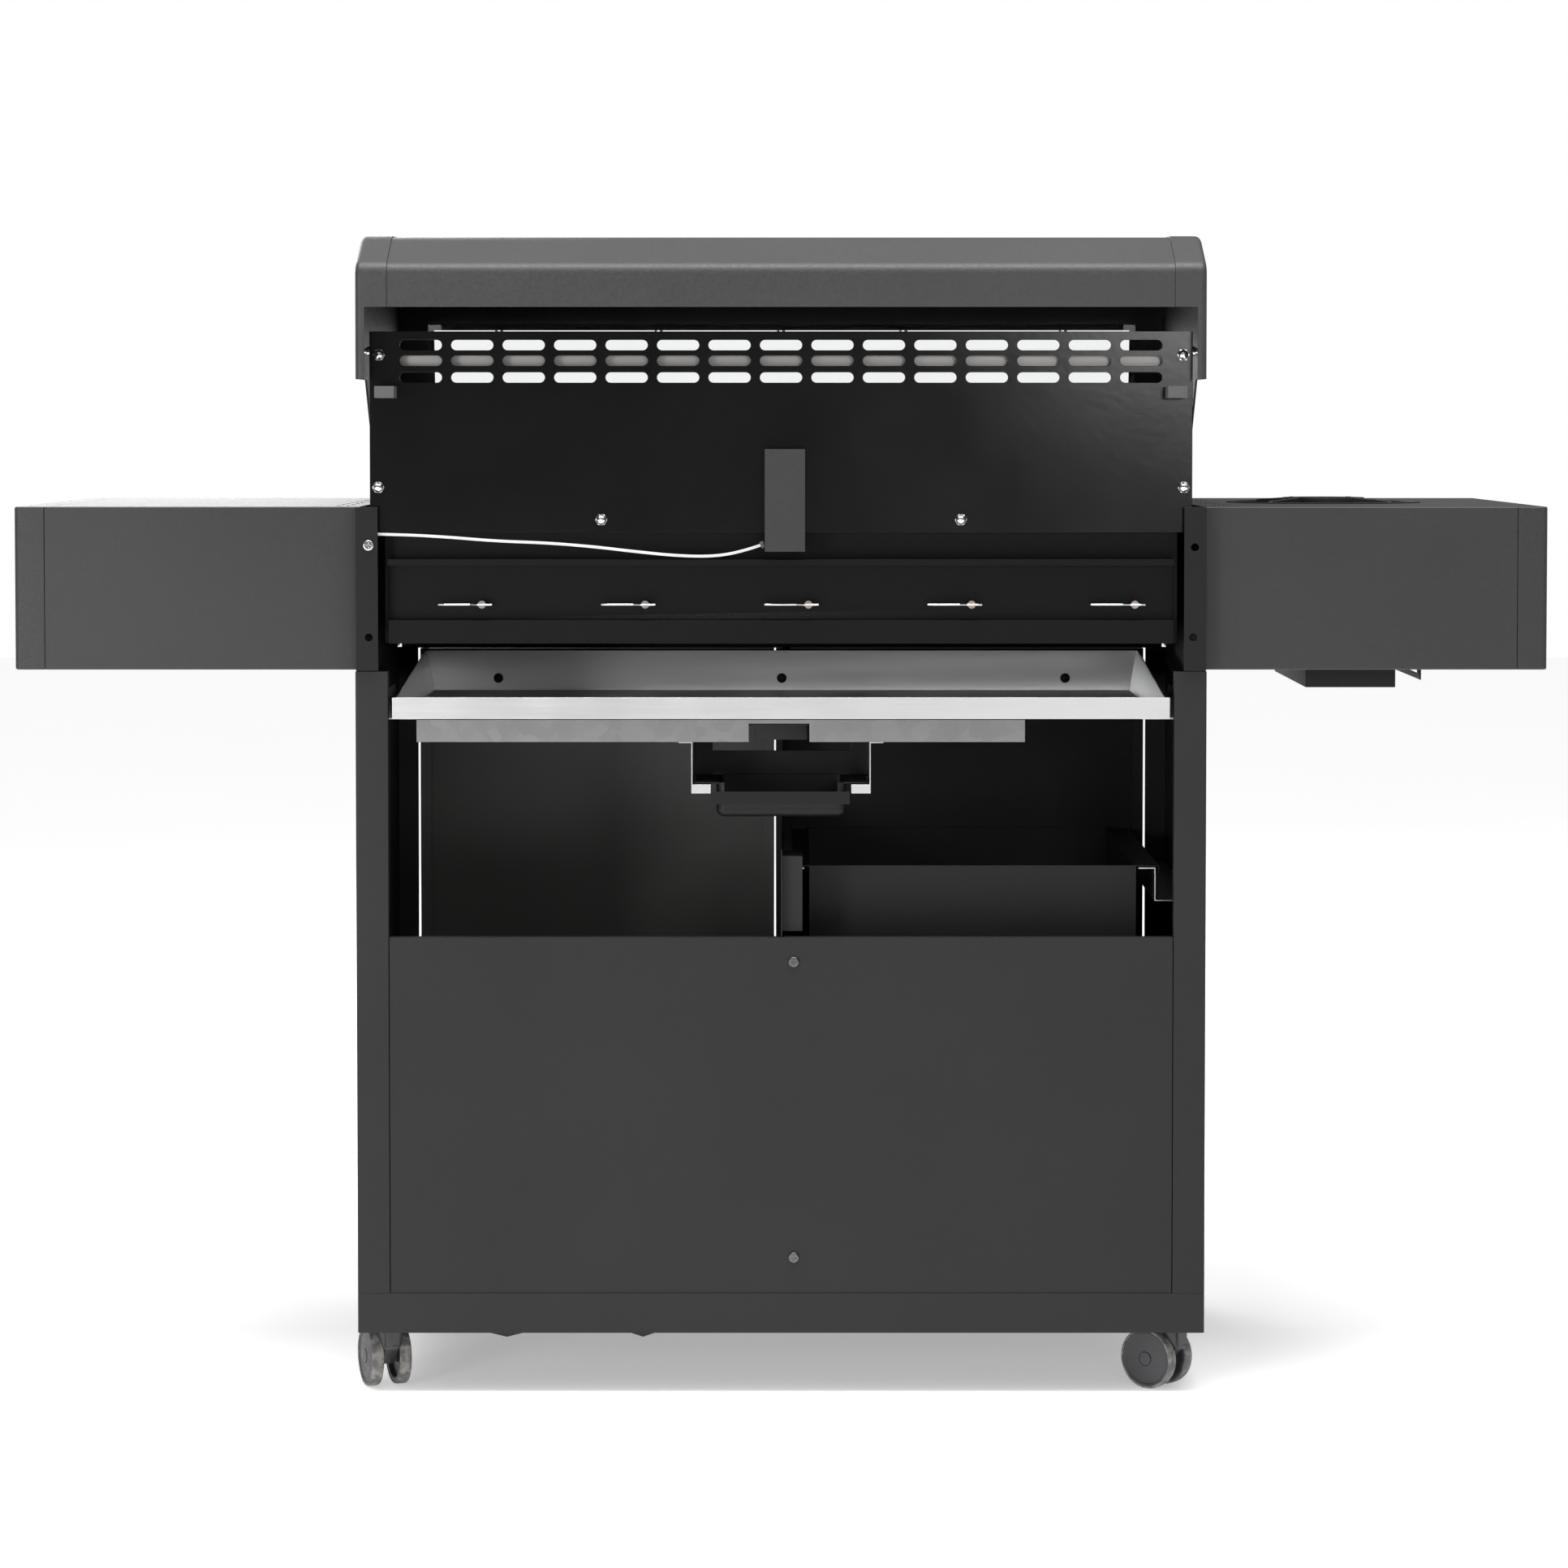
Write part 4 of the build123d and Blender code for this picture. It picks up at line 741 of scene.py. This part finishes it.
def knob_meshes(low, high):
    """Skirt, plated edge, flutes, grip and pointer, in the order of their finishes."""
    x, z = (low.x + high.x) / 2, (low.z + high.z) / 2
    radius = (high.x - low.x) / 2
    back, front = high.y, low.y
    centre = (x, back, z)
    skirt = [(4.4 * MM, 0.0), (radius - 1.2 * MM, 0.0), (radius - 1.2 * MM, 8.2 * MM), (radius - 3 * MM, 9.6 * MM),
             (19.6 * MM, 10.4 * MM), (18.4 * MM, 16.8 * MM), (17.0 * MM, 18.0 * MM), (0.0, 18.4 * MM),
             (0.0, 17.2 * MM), (4.4 * MM, 17.2 * MM), (4.4 * MM, 0.0)]
    edge = [(radius - 3.4 * MM, 0.2 * MM), (radius - 0.6 * MM, 0.2 * MM), (radius, 1.0 * MM), (radius, 2.6 * MM),
            (radius - 0.6 * MM, 3.2 * MM), (radius - 3.4 * MM, 3.2 * MM), (radius - 3.4 * MM, 0.2 * MM)]
    flute = rounded_block("flute", (-0.7 * MM, -9.0 * MM, radius - 2.6 * MM),
                          (0.7 * MM, -4.0 * MM, radius - 0.5 * MM), 0.5 * MM, 1)
    flutes = grow(RING, "flutes", {"Piece": template("flute", flute), "Count": FLUTES, "Centre": centre,
                                   "First": 0.0, "Turn": 2 * math.pi / FLUTES, "Finish": FINISH["knob_finish"]})
    grip = rounded_block("grip", (x - 5 * MM, front + 0.2 * MM, z - 19.6 * MM),
                         (x + 5 * MM, back - 9.6 * MM, z + 19.6 * MM), 2.2 * MM, 3)
    pointer = rounded_block("pointer", (x - 0.9 * MM, front, z + 6 * MM),
                            (x + 0.9 * MM, front + 2 * MM, z + 18.2 * MM), 0.3 * MM, 1)
    axis = (0, -1, 0)
    return [merge("body", [lathe("skirt", skirt, centre, axis), flutes, grip]),
            lathe("edge", edge, centre, axis), pointer]


for label in KNOBS:
    knob = merge(f"fluted_knob_{label}", knob_meshes(*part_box(f"knob_{label}")),
                 [FINISH["knob_finish"], FINISH["chrome"], DIAL_WHITE])
    add_piece(f"fluted_knob_{label}", knob, f"knob_{label}", [f"knob_{label}"])
soften("knob_bezels", 0.6 * MM)

# %% [markdown]
# ## Temperature gauge
# A plated case with a white dial, a ring of ticks and a red needle. The ticks are one block copied by the ring
# tree through three quarters of a turn.

# %% Temperature gauge
gauge_low, gauge_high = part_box("temperature_gauge")
gauge_x = (gauge_low.x + gauge_high.x) / 2
gauge_z = (gauge_low.z + gauge_high.z) / 2
gauge_radius = (gauge_high.x - gauge_low.x) / 2
gauge_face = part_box("hood_shell")[0].y
gauge_axis = (0, -1, 0)
gauge_centre = (gauge_x, gauge_face, gauge_z)
case = [(0.0, 0.0), (gauge_radius - 0.5 * MM, 0.0), (gauge_radius, 0.8 * MM), (gauge_radius, 6 * MM),
        (gauge_radius - 1.6 * MM, 9.2 * MM), (gauge_radius - 3.4 * MM, 10 * MM), (gauge_radius - 4 * MM, 9.4 * MM),
        (gauge_radius - 4.2 * MM, 6.4 * MM), (0.0, 6.4 * MM)]
dial = [(0.0, 6.5 * MM), (gauge_radius - 4.4 * MM, 6.5 * MM), (gauge_radius - 4.4 * MM, 6.9 * MM), (0.0, 6.9 * MM)]
TICKS = 25
SWEEP = math.radians(270.0)
tick = rounded_block("tick", (-0.45 * MM, -7.3 * MM, gauge_radius - 10.5 * MM),
                     (0.45 * MM, -6.8 * MM, gauge_radius - 6.4 * MM), 0.1 * MM, 1)
ticks = grow(RING, "ticks", {"Piece": template("tick", tick), "Count": TICKS, "Centre": gauge_centre,
                             "First": -SWEEP / 2, "Turn": SWEEP / (TICKS - 1), "Finish": FINISH["black_paint"]})
needle = rounded_block("needle", (-0.8 * MM, -7.8 * MM, -5 * MM), (0.8 * MM, -7.4 * MM, gauge_radius - 9 * MM),
                       0.15 * MM, 1)
needle.transform(Matrix.Translation(gauge_centre) @ Matrix.Rotation(-SWEEP / 2, 4, "Y"))
boss = lathe("boss", [(0.0, 6.9 * MM), (3 * MM, 6.9 * MM), (3 * MM, 8.4 * MM), (0.0, 8.8 * MM)], gauge_centre,
             gauge_axis, 32)
probe = round_bar("probe", gauge_centre, (gauge_x, gauge_high.y, gauge_z), 3 * MM, 20)
gauge = merge("dial_gauge", [merge("case", [lathe("case", case, gauge_centre, gauge_axis, 96), probe]),
                             lathe("dial", dial, gauge_centre, gauge_axis, 96), ticks,
                             merge("pointing", [needle, boss])],
              [FINISH["chrome"], DIAL_WHITE, FINISH["black_paint"], DIAL_RED])
add_piece("dial_gauge", gauge, "hood", ["temperature_gauge"])

# %% [markdown]
# ## Burner ports
# Gas leaves a burner through two rows of small ports low on its sides. Each port is a short dark plug, painted
# shade for the dark inside of the hole, and the row tree repeats it along each burner.

# %% Burner ports
burner_z = (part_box("knob_main_3")[0].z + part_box("knob_main_3")[1].z) / 2
PORTS = 34
FIRST_PORT_Y = -0.15
PORT_SIDE = 15.9 * MM
PORT_STEP = 11 * MM
# The plug's near-black paint is painted shade standing for the hole.
port = template("port", round_bar("port", (-0.3 * MM, 0, 0), (0.3 * MM, 0, 0), 1.3 * MM, 10))
port_meshes = []
for label in KNOBS[:5]:
    low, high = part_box(f"knob_{label}")
    for side in (-1, 1):
        x = (low.x + high.x) / 2 + side * PORT_SIDE
        port_meshes.append(grow(ROW, "ports", {
            "Piece": port, "Count": PORTS, "Start": (x, FIRST_PORT_Y, burner_z), "Step": (0.0, PORT_STEP, 0.0),
            "Finish": FINISH["heat_paint"]}))
add_piece("burner_ports", merge("burner_ports", port_meshes), "cabinet", (), FINISH["heat_paint"])
print("ports:", PORTS * len(port_meshes))

# %% [markdown]
# ## Small screws in the tray
# Black round-headed screws hold the drip tray's stops. A domed head with a shallow round dip in its top is a lathe
# shape.

# %% Tray screws
def round_head(centre, axis, radius):
    profile = [(0.0, 0.0), (radius, 0.0), (radius, 0.6 * MM), (radius * 0.86, 1.5 * MM), (radius * 0.5, 2.2 * MM),
               (radius * 0.28, 2.3 * MM), (radius * 0.2, 1.5 * MM), (0.0, 1.5 * MM)]
    return lathe("head", profile, centre, axis, 32)


tray_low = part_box("drip_tray")[0]
tray_face = tray_low.y + 1.2 * MM
screw_z = tray_low.z + 17 * MM
heads = [round_head((x, tray_face, screw_z), (0, 1, 0), 5.4 * MM) for x in (0.317, 0.0, -0.317)]
add_piece("tray_screws", merge("tray_screws", heads), "drip_tray", (), FINISH["black_paint"])

# %% [markdown]
# ## Painted shade behind the front seam
# A narrow black strip behind the seam between the control panel and the door tops is painted shade: it stands
# where there is only shade and keeps light from showing through. It stays above the tops of the door and the
# drawer, so neither touches it.

# %% Painted shade behind the front seam
SEAM_HALF = 0.430
# A black strip as painted shade behind the front seam.
seam_strip = rounded_block("front_seam_strip", (-SEAM_HALF, -0.2330, 0.7430), (SEAM_HALF, -0.2318, 0.7600), 0.3 * MM)
add_piece("front_seam_strip", seam_strip, "cabinet", (), FINISH["black_paint"])

# %% [markdown]
# ## The ignition lead
# A white silicone lead runs loosely from the bracket on the right to the igniter's cover, and sags onto the
# ledge below the panel. It is one NURBS curve through listed control points, 3 mm thick.

# %% Ignition lead
LEAD_ROUTE = [
    (0.4276, 0.2620, 0.8845), (0.3860, 0.2626, 0.8838), (0.3410, 0.2632, 0.8814), (0.2910, 0.2624, 0.8772),
    (0.2400, 0.2616, 0.8754), (0.1920, 0.2624, 0.8716), (0.1480, 0.2634, 0.8664), (0.1060, 0.2628, 0.8622),
    (0.0700, 0.2620, 0.8614), (0.0415, 0.2624, 0.8660), (0.0210, 0.2626, 0.8730),
]
LEAD_DIAMETER = 3 * MM
lead_curve = bpy.data.curves.new("white_lead", "CURVE")
lead_curve.dimensions = "3D"
lead_curve.bevel_depth = LEAD_DIAMETER / 2
lead_curve.bevel_resolution = 5
lead_curve.resolution_u = 14
lead_curve.use_fill_caps = True
line = lead_curve.splines.new("NURBS")
line.points.add(len(LEAD_ROUTE) - 1)
for point, place in zip(line.points, LEAD_ROUTE):
    point.co = (*place, 1.0)
line.order_u = 3
line.use_endpoint_u = True
lead_curve.materials.append(FINISH["lead_cover"])
lead = bpy.data.objects.new("white_lead", lead_curve)
place_piece(lead, "cabinet")
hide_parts("ignition_lead")

# %% [markdown]
# ## The studio
# The barbecue is dark, so it needs broad lights. Three soft boxes stand behind it, where the camera is, for the
# folds and the bare metal. A wide one overhead lights the tops, one in front lights the knobs, and a white room
# fills the rest. The floor is pale and plain.

# %% Studio
def soft_box(name, place, target, size, power):
    """An area light that faces a target; size is in metres and power in watts."""
    data = bpy.data.lights.new(name, "AREA")
    data.shape = "RECTANGLE"
    data.size, data.size_y = size
    data.energy = power
    lamp = bpy.data.objects.new(name, data)
    lamp.location = place
    lamp.rotation_euler = (Vector(target) - Vector(place)).to_track_quat("-Z", "Y").to_euler()
    scene.collection.objects.link(lamp)


soft_box("left", (1.75, 3.0, 0.72), (0.7, 0.25, 0.8), (0.5, 1.0), 12)
soft_box("low", (2.6, 4.2, 0.8), (0.5, 0, 0.7), (1.0, 1.4), 26)
soft_box("right", (-0.98, 5.0, 1.42), (-0.1, 0, 0.8), (0.7, 0.6), 13)
soft_box("top", (0.0, 0.75, 3.2), (0, 0.4, 0.8), (3.2, 1.0), 98)
soft_box("front", (1.8, -4.0, 2.2), (0, 0, 0.8), (2.4, 2.0), 80)

# The room is white to the eye. As a light it is brightest overhead and dim at eye level, so that upright
# black enamel mirrors a dark studio and stays black.
world = bpy.data.worlds.new("white_room")
world.use_nodes = True
room = world.node_tree
direction = shade(room, "ShaderNodeTexCoord").outputs["Generated"]
upward = shade(room, "ShaderNodeSeparateXYZ", {"Vector": direction}).outputs["Z"]
glow = shade(room, "ShaderNodeMapRange", {"Value": upward, "From Min": 0.35, "From Max": 1.0,
                                          "To Min": 0.14, "To Max": 1.1}).outputs["Result"]
rays = shade(room, "ShaderNodeLightPath").outputs
seen = shade(room, "ShaderNodeMath", {0: rays["Is Camera Ray"], 1: rays["Is Transmission Ray"]},
             operation="MAXIMUM").outputs[0]
strength = shade(room, "ShaderNodeMix", data_type="FLOAT")
room.links.new(seen, strength.inputs[0])
room.links.new(glow, strength.inputs[2])
strength.inputs[3].default_value = 1.0
room.nodes["Background"].inputs["Color"].default_value = (1.0, 1.0, 1.0, 1.0)
room.links.new(strength.outputs[0], room.nodes["Background"].inputs["Strength"])
scene.world = world

FLOOR_HALF = 14.0
floor_mesh = bpy.data.meshes.new("floor")
floor_mesh.from_pydata([(-FLOOR_HALF, -FLOOR_HALF, 0), (FLOOR_HALF, -FLOOR_HALF, 0), (FLOOR_HALF, FLOOR_HALF, 0),
                        (-FLOOR_HALF, FLOOR_HALF, 0)], [], [(0, 1, 2, 3)])
floor = bpy.data.objects.new("floor", floor_mesh)
floor_paint, floor_tree, floor_shader, floor_place = blank_material("pale_floor")
floor_clouds = noise(floor_tree, floor_place, 1.5, 2.0)
floor_tree.links.new(tint(floor_tree, floor_clouds, (0.93, 0.93, 0.93), (0.96, 0.96, 0.96)),
                     floor_shader.inputs["Base Color"])
floor_shader.inputs["Roughness"].default_value = 0.9
floor_shader.inputs["Emission Color"].default_value = (1.0, 1.0, 1.0, 1.0)
floor_shader.inputs["Emission Strength"].default_value = 0.37
floor_mesh.materials.append(floor_paint)
scene.collection.objects.link(floor)
floor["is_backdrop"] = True

# %% [markdown]
# ## The size of the finished model
# The finished model's box, without the floor, is printed.

# %% Sizes
low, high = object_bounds()
print("visual", [round(v, 4) for v in (*low, *high)])
